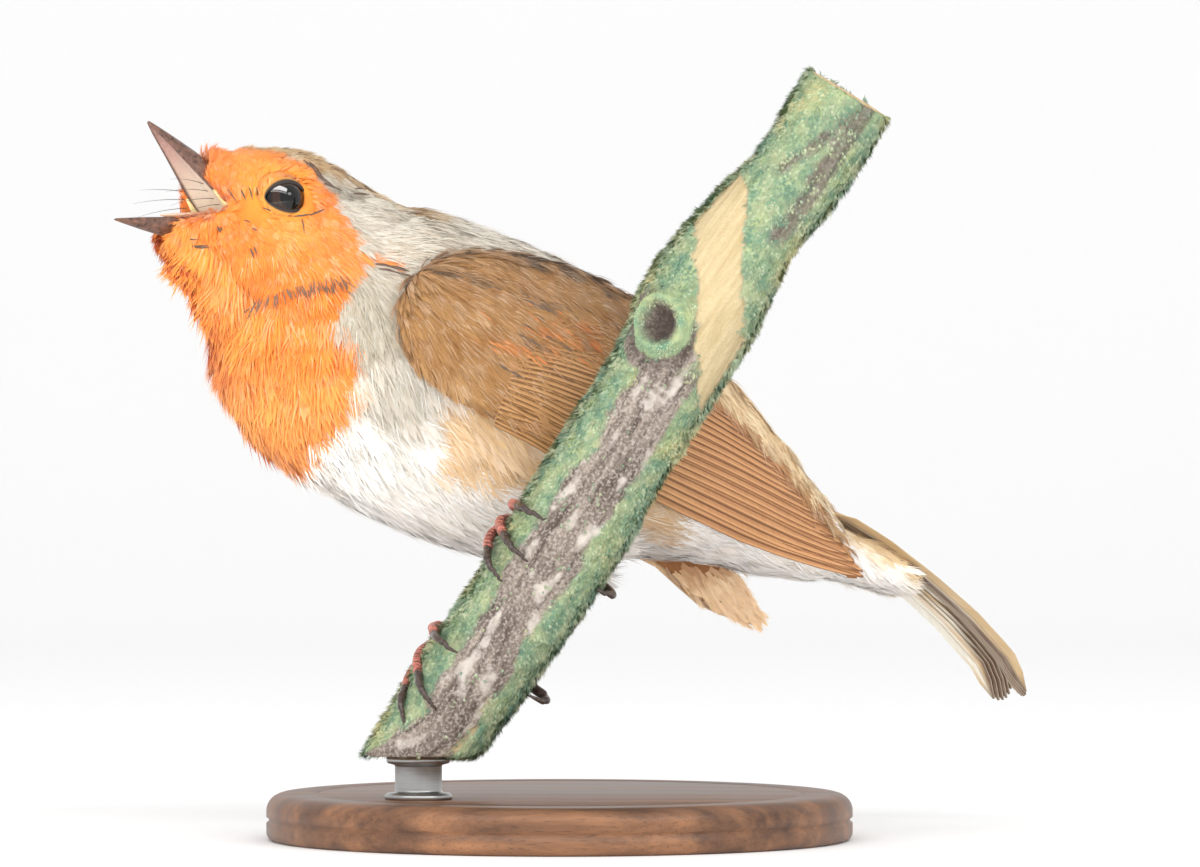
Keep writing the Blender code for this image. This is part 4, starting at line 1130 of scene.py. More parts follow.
def plume(line, search, side, half_width):
    """Rows of a narrow blade laid on a searched surface along a line of the side view."""
    at = np.linspace(0, len(line) - 1, PLUME_ROWS)
    path = np.stack([np.interp(at, np.arange(len(line)), line[:, k]) for k in (0, 1)], 1)
    heading = unit(np.gradient(path, axis=0))
    beside = np.stack([-heading[:, 1], heading[:, 0]], 1)
    rows = []
    for i, share in enumerate(np.linspace(0, 1, PLUME_ROWS)):
        wide = half_width * (math.sin(math.pi * min(0.14 + 0.86 * share, 0.985)) ** 0.8)
        row = []
        for across, lift in ((-1.0, 0.0), (0.0, 0.5 * half_width), (1.0, 0.0)):
            x, z = path[i] + beside[i] * across * wide
            met, out = from_side(search, side, x, z)
            if not met:
                return None
            out = out * (1 if out[1] * side > 0 else -1)
            rise = PLUME_ABOVE + lift - PLUME_SINK * (1 - math.sin(math.pi * share))
            row.append(np.array(met) + np.array(out) * rise)
        rows.append(row)
    return np.array(rows)


def laid_plumes(name, search, side, table, seed):
    """One piece from a table of plumes, with the colours of each kept beside its points."""
    rng = np.random.default_rng(seed)
    points, faces, tint = [], [], []
    for path, half_width, length, kind, *tone in table:
        path = np.array(path, float)
        walked = np.concatenate([[0.0], np.cumsum(np.hypot(*np.diff(path, axis=0).T))])
        lines = []
        if kind == "along":
            pieces = max(1, round(walked[-1] / length))
            for k in range(pieces):
                ends = np.clip(np.array([k - 0.12, k + 0.5, k + 1.12]) / pieces, 0, 1) * walked[-1]
                stroke = np.stack([np.interp(ends, walked, path[:, c]) for c in (0, 1)], 1)
                lines.append(stroke + rng.uniform(-0.07, 0.07, (1, 2)))
        else:
            for d in np.arange(0.0, walked[-1], 0.42):
                middle = np.array([np.interp(d, walked, path[:, c]) for c in (0, 1)])
                middle += rng.uniform(-0.34, 0.34, 2)
                way = coat_angle(middle) + rng.uniform(-0.25, 0.25)
                half = 0.5 * length * rng.uniform(0.6, 1.1)
                lean = np.array([math.cos(way), math.sin(way)])
                lines.append(np.array([middle - lean * half, middle, middle + lean * half]))
        for line in lines:
            rows = plume(line, search, side, half_width * rng.uniform(0.8, 1.15))
            if rows is None:
                continue
            faces += [tuple(len(points) + i for i in face) for face in grid_faces(PLUME_ROWS, 3, False)]
            points += rows.reshape(-1, 3).tolist()
            tint += [tone[0] if tone else PLUME_SHADE_TONE] * (PLUME_ROWS * 3)
    made = new_piece(name, stood(points), faces, merge=0.0)
    store(made, "tint", "FLOAT_COLOR", opaque(tint))
    return made


def coat_angle(place):
    """The angle at which the coat lies at a place of the side view."""
    way = combed(np.array([place]))[0][0]
    return math.atan2(way[2], way[0])


plume_look, tree, shader = new_look("dark_plume", 0.75)
tint = kept(tree, "tint", "Color")
mottle = grain(tree, object_place(tree), 2400.0)
paint(tree, shader, mix(tree, mottle, tint, mix(tree, 0.35, tint, srgb(170, 140, 116))))
body_search = tree_of("trunk", "neck", "head")
# Painted shade: the dark plumes laid on the coat on each side.
for side, side_name in SIDES:
    marks = laid_plumes(f"dark_plumes_{side_name}", body_search, side, SHADE_PLUMES, 31)
    put(marks, plume_look, "back_feathers")


# ---- Eyes -------------------------------------------------------------------------------------
# Glass eyes, nearly black with a deep brown iris and a slight cornea, set deep in the sockets.
# Each looks out through an almond of dark lid with a raised rim.

EYE_OPENING = (2.95, 1.85, 1.6)
SOCKET_RADIUS = 4.1
CORNEA_RISE = 0.22
EYE_ROWS, EYE_SIDES = 36, 56
LID_SIDES = 72
LID_PLUME, LID_LOFT = 1.15, math.radians(14.0)
# Rows of the lid from its rim to the socket's edge: the share of the way, and how far off the ball.
LID_ROWS = ((0, 0.03), (0.04, 0.2), (0.1, 0.3), (0.2, 0.3), (0.34, 0.18), (0.55, 0.06), (0.78, 0), (1, 0))


def eye_place(side, dx, dz, off):
    """A point off the eyeball's surface, at dx and dz from its middle as seen from the side."""
    out = math.sqrt(max((EYE_RADIUS + off) ** 2 - dx * dx - dz * dz, 0.05))
    return [EYE_AT[0] + dx, side * (EYE_AT[1] + out), EYE_AT[2] + dz]


def closed_piece(name, points, faces):
    """A closed piece from points where the bird stands, with its faces turned outward."""
    made = new_piece(name, points, faces, merge=0.0)
    shape = bmesh.new()
    shape.from_mesh(made.data)
    bmesh.ops.recalc_face_normals(shape, faces=shape.faces)
    shape.to_mesh(made.data)
    shape.free()
    return made


def eyeball(name, side):
    """A ball with a slight cornea, which keeps how far each point lies from its pole, in radians."""
    points, ring = [], []
    for k in range(1, EYE_ROWS):
        tilt = math.pi * k / EYE_ROWS
        radius = EYE_RADIUS + CORNEA_RISE * math.exp(-(tilt / 0.5) ** 2)
        for j in range(EYE_SIDES):
            turn = 2 * math.pi * j / EYE_SIDES
            flat = radius * math.sin(tilt)
            points.append([EYE_AT[0] + flat * math.cos(turn), side * (EYE_AT[1] + radius * math.cos(tilt)),
                           EYE_AT[2] + flat * math.sin(turn)])
            ring.append(tilt)
    points += [[EYE_AT[0], side * (EYE_AT[1] + EYE_RADIUS + CORNEA_RISE), EYE_AT[2]],
               [EYE_AT[0], side * (EYE_AT[1] - EYE_RADIUS), EYE_AT[2]]]
    ring += [0.0, math.pi]
    front, back = len(points) - 2, len(points) - 1
    last_ring = (EYE_ROWS - 2) * EYE_SIDES
    faces = grid_faces(EYE_ROWS - 1, EYE_SIDES, True)
    for j in range(EYE_SIDES):
        after = (j + 1) % EYE_SIDES
        faces.append((front, after, j))
        faces.append((back, last_ring + j, last_ring + after))
    made = closed_piece(name, stood(points), faces)
    store(made, "ring", "FLOAT", ring)
    return made


eye_look, tree, shader = new_look("glass_eye", 0.04)
shader.inputs["IOR"].default_value = 1.5
ring = kept(tree, "ring")
fibres = grain(tree, object_place(tree), 3500.0, 3.0)
iris = mix(tree, fibres, srgb(30, 18, 12), srgb(58, 36, 24))
iris = mix(tree, spread(tree, ring, 0.40, 0.46), srgb(4, 4, 5), iris)
iris = mix(tree, spread(tree, ring, 0.66, 0.8), iris, srgb(8, 7, 7))
paint(tree, shader, iris)

lid_look, tree, shader = new_look("lid_skin", 0.55)
rim = kept(tree, "rim")
pleats = grain(tree, object_place(tree), 4200.0, 4.0)
tone = mix(tree, pleats, srgb(24, 20, 19), srgb(58, 48, 42))
rim_tone = mix(tree, pleats, srgb(206, 132, 52), srgb(244, 176, 84))
tone = mix(tree, spread(tree, rim, 0.14, 0.24), tone, rim_tone)
paint(tree, shader, tone)
relief(tree, shader, pleats, 0.5, 0.0001)

head_search = tree_of("head")
for side, side_name in SIDES:
    ball = eyeball(f"eye_{side_name}_glass", side)
    put(ball, eye_look, "eye_gloss", f"eye_{side_name}")
    points, rim_values = [], []
    for share, off in LID_ROWS:
        for k in range(LID_SIDES):
            a = 2 * math.pi * k / LID_SIDES
            tall = EYE_OPENING[1] if math.sin(a) > 0 else EYE_OPENING[2]
            almond = np.array([EYE_OPENING[0] * math.cos(a), tall * math.sin(a) * abs(math.sin(a)) ** 0.25])
            socket = SOCKET_RADIUS * (1 + 0.24 * max(math.sin(a), 0.0)) * np.array([math.cos(a), math.sin(a)])
            dx, dz = almond * (1 - share) + socket * share
            on_ball = eye_place(side, dx, dz, off)
            met, _ = from_side(head_search, side, EYE_AT[0] + socket[0], EYE_AT[2] + socket[1])
            face_y = (abs(met[1]) if met else 9.1) - 0.45 - 0.9 * float(ease(share, 0.75, 1.0))
            sink = float(ease(share, 0.2, 0.95))
            out = abs(on_ball[1]) * (1 - sink) + face_y * sink
            if math.hypot(dx, dz) < EYE_RADIUS - 0.1:
                out = max(out, abs(eye_place(side, dx, dz, 0.12)[1]))
            on_ball[1] = side * out
            points.append(on_ball)
            rim_values.append(share)
    lid_faces = grid_faces(len(LID_ROWS), LID_SIDES, True)
    lids = new_piece(f"lids_{side_name}", stood(points), lid_faces, merge=0.0)
    if (lids.data.polygons[0].normal.y > 0) == (side < 0):
        lids.data.flip_normals()
    store(lids, "rim", "FLOAT", rim_values)
    at, out, lid_own, lid_out = surface_of(lids)
    lid_way, _, _ = combed(lid_own[:, [0, 2]])
    outward = unit((lid_own - [EYE_AT[0], side * EYE_AT[1], EYE_AT[2]]) * [1.0, 0.0, 1.0])
    lid_way = flat_on(lid_out, unit(lid_way * 0.8 + outward * 0.7))
    lid_spots = [[0.1 + 0.8 * r, 0.1 + 0.8 * (k % LID_SIDES) / LID_SIDES, 0.0]
                 for k, r in enumerate(rim_values)]
    keep_comb(lids, comb=directions_stood(lid_own, lid_way), facing=out,
              reach=np.full(len(at), LID_PLUME * MM), loft=np.full(len(at), LID_LOFT),
              fill=ease(rim_values, 0.2, 0.3), patch=np.zeros(len(at)), tint=painted(lid_own), spot=lid_spots)
    lashes = scattered(f"lid_plumes_{side_name}", lids, face_tree,
                       {"Spacing": 0.2 * MM, "Patch": 0, "Width": 0.9, "Unruly": 0.3, "Seed": 17})
    put(lashes, plumage, "breast_feathers")
    drop_comb(lids)
    put(lids, lid_look, "eye_gloss")


# ---- Bill -------------------------------------------------------------------------------------
# Two slim mandibles of dark horn with sharp cutting edges, a hollowed palate that is brown at the
# tip and pale toward the gape, and a slit of a nostril on each side of the upper one, painted
# near-black as painted shade of its opening.

GAPE = np.array([-46.6, 79.3])
UPPER_TIP, LOWER_TIP = np.array([-57.0, 91.8]), np.array([-62.4, 79.0])
# Rows of each mandible from the gape to the tip: distance, half width and height.
UPPER_ROWS = [(0.6, 4, 2.3), (1.2, 4, 2.6), (3.5, 3.6, 3.2), (6, 3, 3.3), (8.5, 2.3, 3), (11, 1.6, 2.2),
              (13.5, 0.95, 1.3), (15.3, 0.5, 0.6), (16.2, 0.2, 0.22)]
LOWER_ROWS = [(0.6, 3.9, 1.5), (1.2, 3.9, 1.7), (3.5, 3.4, 2), (6, 2.7, 2.1), (8.5, 2.1, 1.9),
              (11, 1.45, 1.4), (13, 0.9, 0.9), (14.7, 0.45, 0.45), (15.6, 0.2, 0.2)]
NOSTRIL_AT, NOSTRIL_SIZE = (4.6, 0.62), (1.0, 0.35)
MANDIBLE_ROWS, SHELL_STEPS = 60, 25
# The hollow inner face, across and up as shares of the mandible's own width and height.
HOLLOW = [(-0.9, -0.03), (-0.82, 0.05), (-0.66, 0.2), (-0.45, 0.3), (-0.22, 0.34), (-0.07, 0.29)]


def smooth_rows(rows, count):
    """Rows of a table at even steps along its first column, on a smooth curve through them."""
    rows = np.array(rows, float)
    place = np.linspace(0, len(rows) - 1, count)
    made = []
    for at in place:
        i = min(int(at), len(rows) - 2)
        t = at - i
        b, c = rows[i], rows[i + 1]
        a = rows[i - 1] if i > 0 else 2 * b - c
        d = rows[i + 2] if i + 2 < len(rows) else 2 * c - b
        made.append(0.5 * (2 * b + (c - a) * t + (2 * a - 5 * b + 4 * c - d) * t ** 2
                           + (3 * b - 3 * c + d - a) * t ** 3))
    return made


def capped_rings(rows, sides):
    """Faces of a closed tube of rings, with a cap on each end."""
    last = (rows - 1) * sides
    return grid_faces(rows, sides, True) + [tuple(range(sides)), tuple(range(last, last + sides))]


def bill_axes(tip, upper):
    """Which way a mandible runs from the gape, and which way its outer face looks, in the side view."""
    along = unit(tip - GAPE)
    out = np.array([along[1], -along[0]])
    return along, -out if (out[1] < 0) == upper else out


def mandible(name, tip, rows, upper):
    """A mandible: a rounded back with a low ridge, sharp lips and a hollow inner face."""
    along, out = bill_axes(tip, upper)
    shell = [(math.cos(u), max(math.sin(u), 0.0) ** 0.85 * (1 + 0.06 * math.exp(-((u - 1.57) / 0.2) ** 2)))
             for u in np.linspace(0.0, math.pi, SHELL_STEPS)]
    inner = HOLLOW + [(0.0, 0.27)] + [(-across, rise) for across, rise in reversed(HOLLOW)]
    points, lining, dark = [], [], []
    made_rows = smooth_rows(rows, MANDIBLE_ROWS)
    for distance, half_width, height in made_rows:
        for k, (across, rise) in enumerate(shell + inner):
            inside = k >= len(shell)
            lip = -0.12 * min(height, 1.0) if abs(across) > 0.97 and not inside else 0.0
            place = GAPE + along * distance + out * (height * rise + 0.1 + lip)
            points.append((place[0], half_width * across, place[1]))
            lining.append(1.0 if inside and abs(across) < 0.86 else 0.0)
            slit = math.hypot((distance - NOSTRIL_AT[0]) / NOSTRIL_SIZE[0],
                              (rise * height - NOSTRIL_AT[1] * 3.2) / NOSTRIL_SIZE[1])
            dark.append(1.0 if upper and slit < 1.0 and not inside else 0.0)
    count = len(shell) + len(inner)
    made = closed_piece(name, stood(points), capped_rings(len(made_rows), count))
    reach = [row[0] for row in made_rows for _ in range(count)]
    store(made, "lining", "FLOAT", lining)
    store(made, "nostril", "FLOAT", dark)
    store(made, "toward_tip", "FLOAT", np.array(reach) / rows[-1][0])
    return made


horn, tree, shader = new_look("bill_horn", 0.3, Coat_Weight=0.25, Coat_Roughness=0.2)
lining_in = kept(tree, "lining")
tip_in = kept(tree, "toward_tip")
nostril_shade_in = kept(tree, "nostril")
growth = grain(tree, object_place(tree), 1500.0, 4.0)
outside = mix(tree, spread(tree, growth, 0.35, 0.65), srgb(66, 44, 35), srgb(122, 84, 66))
outside = mix(tree, spread(tree, tip_in, 0.0, 0.35, 0.35, 0.0), outside, srgb(144, 106, 84))
palate = mix(tree, spread(tree, tip_in, 0.30, 0.72), srgb(214, 198, 178), srgb(172, 132, 122))
palate = mix(tree, spread(tree, tip_in, 0.72, 0.95), palate, srgb(120, 86, 76))
palate = mix(tree, spread(tree, growth, 0.5, 0.75, 0.0, 0.45), palate, srgb(196, 172, 156))
tone = mix(tree, lining_in, outside, palate)
# Painted shade: the nostril's slit is near-black.
paint(tree, shader, mix(tree, nostril_shade_in, tone, srgb(14, 10, 9)))
feed(tree, shader.inputs["Roughness"], spread(tree, growth, 0.3, 0.7, 0.24, 0.42))
relief(tree, shader, growth, 0.25)
put(mandible("bill_upper_horn", UPPER_TIP, UPPER_ROWS, True), horn, "bill_horn", "bill_upper")
put(mandible("bill_lower_horn", LOWER_TIP, LOWER_ROWS, False), horn, "bill_horn", "bill_lower")


# ---- Mouth ------------------------------------------------------------------------------------
# Soft pale gape skin from corner to corner, with a swollen yellowish flange at each corner, and a
# narrow pointed tongue lying in the lower mandible.

MOUTH_HALF, MOUTH_DEPTH, MOUTH_REACH = 3.75, 2.4, 3.2
LINING_ACROSS, LINING_ROUND = 41, 25
FLANGE_STEPS = np.linspace(-1.0, 1.0, 21)
# Rows of the tongue: distance from the gape, half width, half depth and height over the lower lip line.
TONGUE_ROWS = [(1.2, 0.5, 0.25, 0.7), (2.4, 0.85, 0.32, 0.75), (4, 1.15, 0.36, 0.75), (6, 0.95, 0.32, 0.68),
               (7.8, 0.55, 0.24, 0.62), (8.9, 0.16, 0.1, 0.6)]
TONGUE_STEPS, TONGUE_SIDES = 26, 18

upper_way, lower_way = unit(UPPER_TIP - GAPE), unit(LOWER_TIP - GAPE)


def gape_lining():
    """The soft skin inside the mouth's corner: a sheet folded from the upper lip to the lower."""
    middle = unit(upper_way + lower_way)
    points = []
    for y in np.linspace(-MOUTH_HALF, MOUTH_HALF, LINING_ACROSS):
        depth = MOUTH_DEPTH * (1 - (abs(y) / 4.3) ** 1.6)
        back = GAPE + middle * (0.45 - depth)
        for w in np.linspace(-1.0, 1.0, LINING_ROUND):
            toward = upper_way if w < 0 else lower_way
            arm = abs(w) ** 1.15 * (MOUTH_REACH - 0.9 * abs(y) / MOUTH_HALF)
            place = back + toward * arm + middle * 0.5 * (1 - abs(w)) ** 2 * 0.6
            pleat = 0.06 * math.sin(w * 9.0) * (1 - abs(w))
            points.append((place[0] + pleat, y, place[1]))
    made = new_piece("gape_lining", stood(points), grid_faces(LINING_ACROSS, LINING_ROUND, False), merge=0.0)
    thick = made.modifiers.new("thick", "SOLIDIFY")
    thick.thickness = 0.25 * MM
    thick.offset = 0.0
    mesh = mesh_made_by(made)
    made.modifiers.clear()
    made.data = mesh
    return made


def tube(name, path, radii, sides=14):
    """A round closed tube along points of the bird's own frame."""
    path = stood(path)
    ahead = unit(np.gradient(path, axis=0))
    first = unit(np.cross(ahead[0], (0.31, 0.2, 0.93)))
    points = []
    for i, point in enumerate(path):
        first = unit(first - ahead[i] * (first @ ahead[i]))
        second = np.cross(ahead[i], first)
        for k in range(sides):
            a = 2 * math.pi * k / sides
            points.append(point + radii[i] * (math.cos(a) * first + math.sin(a) * second))
    return closed_piece(name, points, capped_rings(len(path), sides))


def join_pieces(name, parts):
    """Several objects joined into one, which keeps their stored values."""
    mesh = bpy.data.meshes.new(name)
    whole = bmesh.new()
    for part in parts:
        whole.from_mesh(part.data)
        bpy.data.objects.remove(part)
    whole.to_mesh(mesh)
    whole.free()
    mesh.shade_smooth()
    return in_scene(name, mesh)


gape_look, tree, shader = new_look("gape_skin", 0.38, Coat_Weight=0.3, Coat_Roughness=0.25)
shader.inputs["Subsurface Weight"].default_value = 0.15
shader.inputs["Subsurface Radius"].default_value = (0.001, 0.0005, 0.0003)
shader.inputs["Subsurface Scale"].default_value = 1.0
folds = grain(tree, object_place(tree), 1300.0, 4.0)
tone = mix(tree, spread(tree, folds, 0.3, 0.7), srgb(238, 222, 190), srgb(250, 240, 214))
paint(tree, shader, tone)
relief(tree, shader, folds, 0.4)
put(gape_lining(), gape_look, "gape_skin", "mouth")

flange_look, tree, shader = new_look("gape_flange", 0.4, Coat_Weight=0.2, Coat_Roughness=0.3)
place = object_place(tree)
waxy = grain(tree, place, 1100.0, 4.0)
paint(tree, shader, mix(tree, waxy, srgb(226, 206, 132), srgb(246, 234, 184)))
relief(tree, shader, waxy, 0.3)
flanges = []
for side in (-1, 1):
    path = []
    for w in FLANGE_STEPS:
        toward = upper_way if w < 0 else lower_way
        place = GAPE + toward * 4.6 * abs(w) ** 1.3 - unit(upper_way + lower_way) * 0.35 * (1 - abs(w))
        path.append((place[0], side * (4.5 - 0.9 * abs(w) ** 1.5), place[1]))
    radii = [0.8 * (1 - 0.8 * abs(w) ** 1.6) + 0.05 for w in FLANGE_STEPS]
    flanges.append(tube("flange", path, radii))
put(join_pieces("gape_flanges", flanges), flange_look, "gape_skin")

points = []
for distance, half_width, half_depth, lift in smooth_rows(TONGUE_ROWS, TONGUE_STEPS):
    place = GAPE + lower_way * distance + np.array([0.0, lift])
    for a in np.arange(TONGUE_SIDES) * 2 * math.pi / TONGUE_SIDES:
        groove = 0.3 * half_depth * math.exp(-(math.cos(a) / 0.25) ** 2) * (math.sin(a) > 0)
        points.append((place[0], half_width * math.cos(a), place[1] + half_depth * math.sin(a) - groove))
tongue = closed_piece("tongue_flesh", stood(points), capped_rings(TONGUE_STEPS, TONGUE_SIDES))
tongue_look, tree, shader = new_look("tongue_flesh", 0.35, Coat_Weight=0.35, Coat_Roughness=0.2)
buds = grain(tree, object_place(tree), 3800.0, 3.0)
paint(tree, shader, mix(tree, buds, srgb(222, 176, 150), srgb(240, 210, 184)))
relief(tree, shader, buds, 0.35, 0.0001)
put(tongue, tongue_look, "gape_skin", "tongue")


# ---- Bristles ---------------------------------------------------------------------------------
# A few stiff hair-like feathers that reach forward from above each corner of the gape.

# Each bristle: where it is rooted as x, z and half the gap between the pair, its angle and its length.
BRISTLES = [(-49.6, 81.6, 3.5, 186, 7.6), (-49, 80.8, 3.9, 192, 6.4), (-50.2, 82.6, 3.2, 176, 7),
            (-48.6, 79.6, 4.1, 200, 5), (-50.6, 83.6, 2.8, 165, 5.6)]

bristle_look, tree, shader = new_look("bristle_hair", 0.5)
mottle = grain(tree, object_place(tree), 900.0)
paint(tree, shader, mix(tree, mottle, srgb(60, 54, 50), srgb(120, 112, 104)))
hairs = []
for side in (-1, 1):
    for x, z, half, turn_deg, length in BRISTLES:
        path = []
        for t in np.linspace(0.0, 1.0, 12):
            angle = math.radians(turn_deg + 14.0 * t)
            path.append((x + length * t * math.cos(angle), side * (half + 1.3 * math.sin(1.4 * t)),
                         z + length * t * math.sin(angle) * 0.6))
        hairs.append(tube("bristle", path, 0.055 * (1 - 0.8 * np.linspace(0, 1, 12)), sides=6))
put(join_pieces("bristles", hairs), bristle_look, "bill_horn")


# ---- Wings: bed -------------------------------------------------------------------------------
# Each folded wing is carved as a thin shell that lies on the body. It carries the feathers and has
# their colours under them: golden-brown at the shoulder, red-brown toward the tip. The far wing
# droops a little, so its tip shows below the belly.

WING_SHOULDER = np.array([-24.0, 66.0])
DROOP_DEG = {-1: 0.0, 1: 5.0}
WING_SLID = {-1: np.array([0.0, 0.0]), 1: np.array([3.0, -1.65])}
WING_VOXEL, WING_SINK = 0.42, -0.3
FAR_LIFT = 3.2
# Lines of the folded wing in the side view: the upper edge of the quills, and the wing's lower hem.
QUILL_TOP = np.array([(-40, 52), (-18, 56), (-13.4, 58.9), (-6.7, 60.1), (1.8, 59.2), (9, 57.6),
                      (15.7, 54.9), (22.9, 49), (31.9, 41), (37.6, 34.8), (50, 22)])
WING_HEM = np.array([(-27.5, 63), (-19.5, 54), (-10.5, 49.2), (-1.5, 45), (8, 41.2), (17, 38.2), (25, 35.8),
                     (32, 33.8), (38, 31.6)])
# The comb of the wing's own small feathers, its columns as in the coat's, and the dark marks on them.
WING_COMB = np.array([(-27, 68, -58, 3.6, 16), (-24, 59, -64, 3.8, 15), (-20, 73, -24, 4.2, 15),
                      (-19, 62, -44, 4.2, 14), (-14, 54, -36, 4, 12), (-10, 70, -30, 4.6, 13),
                      (-6, 63, -34, 4.6, 12), (2, 67, -38, 4.8, 12), (6, 60, -32, 4.8, 10),
                      (14, 60, -44, 5, 11), (20, 54, -46, 5, 10), (28, 46, -46, 4.6, 9),
                      (38, 34, -42, 4, 12)])
WING_MARKS = [([(-25, 71.2), (-18.5, 69.8), (-12, 68), (-7, 65.6)], 0.3, 0.7),
              ([(-11.5, 73), (-9.5, 71.2)], 0.3, 0.8), ([(-9.4, 73.4), (-8.2, 71)], 0.3, 0.8),
              ([(-6.2, 72.6), (-3.8, 70.2)], 0.28, 0.7), ([(-4.4, 71.6), (-2.2, 69.4)], 0.25, 0.7),
              ([(0.2, 69.4), (2.2, 67.4)], 0.3, 0.6), ([(-13, 62.6), (-9, 60.4)], 0.25, 0.5),
              ([(-9, 62.4), (-5, 60.2)], 0.25, 0.55), ([(-15.5, 58.4), (-11.5, 56.2)], 0.25, 0.5)]


def droop_turn(side):
    """The turn in the side view by which a wing droops."""
    angle = math.radians(-DROOP_DEG[side])
    return np.array([[math.cos(angle), -math.sin(angle)], [math.sin(angle), math.cos(angle)]])


def far_lift(side, flat):
    """How far the far wing's lower edge is tucked up under the belly, ahead of its tip."""
    from_edge = flat[:, 1] - np.interp(flat[:, 0], WING_HEM[:, 0], WING_HEM[:, 1])
    lift = FAR_LIFT * ease(-flat[:, 0], -31.0, -22.0) * ease(-from_edge, -7.0, -1.0) * (side > 0)
    return np.stack([np.zeros_like(lift), lift], 1)


def wing_place(side, flat):
    """From the left wing's place in the side view to this wing's."""
    flat = np.atleast_2d(flat)
    from_shoulder = flat + far_lift(side, flat) - WING_SHOULDER
    return from_shoulder @ droop_turn(side).T + WING_SHOULDER - WING_SLID[side]


def wing_flat(side, place):
    """From this wing's place in the side view back to the left wing's."""
    return (place + WING_SLID[side] - WING_SHOULDER) @ droop_turn(side) + WING_SHOULDER


def wing_painted(flat, points):
    """Colour of a wing at places in the left wing's side view."""
    x, z = flat[:, 0], flat[:, 1]
    rough = cloud(points, 1.1, 21.0)
    coarse = cloud(points, 3.0, 22.0)
    colour = np.tile(srgb(166, 123, 74), (len(points), 1))
    colour = lay(colour, 0.8 * ease(coarse + 0.6 * rough, 0.0, 0.6), srgb(152, 106, 58))
    colour = lay(colour, 0.4 * ease(rough - coarse, 0.3, 0.8), srgb(196, 156, 106))
    middle = ease(-np.hypot((x + 7.0) / 1.9, z - 60.0), -5.5, -2.0)
    colour = lay(colour, middle * ease(rough, 0.0, 0.45), srgb(204, 122, 62))
    above = z - np.interp(x, QUILL_TOP[:, 0], QUILL_TOP[:, 1])
    quills = ease(-above + 0.3 * rough, -0.4, 0.4) * ease(x + 0.4 * coarse, -14.5, -12.5)
    colour = lay(colour, quills, srgb(176, 132, 86))
    colour = lay(colour, quills * ease(x, 2.0, 16.0), srgb(184, 132, 88))
    buff = ease(above + 0.4 * rough, 0.2, 1.2) * ease(x + coarse, 5.0, 13.0)
    colour = lay(colour, buff, srgb(240, 216, 174))
    for path, wide, strength in WING_MARKS:
        near = ease(-from_path(x, z, path), -wide - 0.15, -wide + 0.15) * strength
        colour = lay(colour, near, srgb(78, 64, 56))
    return colour


bed_look, tree, shader = new_look("wing_bed", 0.85)
markings = kept(tree, "markings", "Color")
down = grain(tree, object_place(tree), 2600.0, 3.0)
deep = times(tree, markings, (0.5, 0.42, 0.36))
paint(tree, shader, mix(tree, down, deep, times(tree, markings, (0.8, 0.75, 0.7))))
relief(tree, shader, down, 0.4)

wing_beds = {}
for side, side_name in SIDES:
    bed = remeshed(f"wing_bed_{side_name}", [node_mesh(f"wing_{side_name}")], WING_VOXEL, 3, swell=WING_SINK)
    _, out, own, own_out = surface_of(bed)
    flat = wing_flat(side, own[:, [0, 2]])
    own[:, 2] += far_lift(side, flat)[:, 1]
    set_points(bed, stood(own))
    way, reach, loft = combed(flat, WING_COMB)
    turn = droop_turn(side)
    way[:, [0, 2]] = way[:, [0, 2]] @ turn.T
    way = flat_on(own_out, way)
    ahead = wing_flat(side, (own + way * (0.5 * reach)[:, None])[:, [0, 2]])
    above = flat[:, 1] - np.interp(flat[:, 0], QUILL_TOP[:, 0], QUILL_TOP[:, 1])
    outer = ease(own_out[:, 1] * side, -0.35, 0.1)
    soft_zone = np.maximum(ease(above, -0.6, 0.5), ease(-flat[:, 0], 9.4, 11.6)) * outer
    soft_zone *= 1 - ease(flat[:, 0], 34.0, 37.0)
    tint = wing_painted(ahead, own)
    if side > 0:
        hanging = ease(flat[:, 0], 8.0, 16.0) * ease(-own[:, 2], -37.5, -35.0)
        frayed = hanging * (own_out[:, 1] < 0.2)
        soft_zone = np.maximum(soft_zone, frayed)
        # The hanging frayed tip is painted a pale buff, partly its own colour and partly painted light that
        # lifts the shade under the belly.
        tint = lay(tint, frayed, np.array(srgb(244, 212, 172)) + 0.06 * cloud(own, 1.2, 5.0)[:, None])
        reach = reach * (1 - 0.35 * hanging)
        loft = loft + np.radians(7.0) * hanging
    inner_face = own_out[:, 1] * side < 0
    spots = np.stack([on_sheet((own[:, 0] + 32) / 76),
                      0.03 + 0.45 * (own[:, 2] - 26) / 52 + 0.5 * inner_face, np.zeros(len(own))], 1)
    spots = np.clip(spots, 0, 1)
    keep_comb(bed, comb=directions_stood(own, way), facing=out, reach=reach * MM, loft=loft, fill=soft_zone,
              patch=np.zeros(len(own)), tint=np.clip(tint, 0, 1), spot=spots)
    store(bed, "markings", "FLOAT_COLOR", opaque(wing_painted(flat, own)))
    unwrap(bed, spots[:, :2])
    wing_beds[side] = bed


# ---- Wings: loose coverts ---------------------------------------------------------------------
# The small soft feathers of shoulder and forewing, golden-brown with dark shaft streaks, and the
# long loose ones of the back that hang over the wing's upper edge. The far wing's tip is frayed.

for side, side_name in SIDES:
    bed = wing_beds[side]
    coverts = scattered(f"wing_coverts_{side_name}", bed, body_tree,
                        {"Spacing": 0.46 * MM, "Patch": 0, "Width": 0.9, "Unruly": 0.24, "Seed": 41})
    put(coverts, plumage, "back_feathers")
    drop_comb(bed)
    put(bed, bed_look, "flight_feathers", f"wing_{side_name}")


# ---- Wings: quills ----------------------------------------------------------------------------
# Flight feathers, folded like a fan: each a thin stiff vane with a shaft near its lower edge. The
# upper ones lie on the lower, so only their lower edges show. A row of coverts hides their roots.

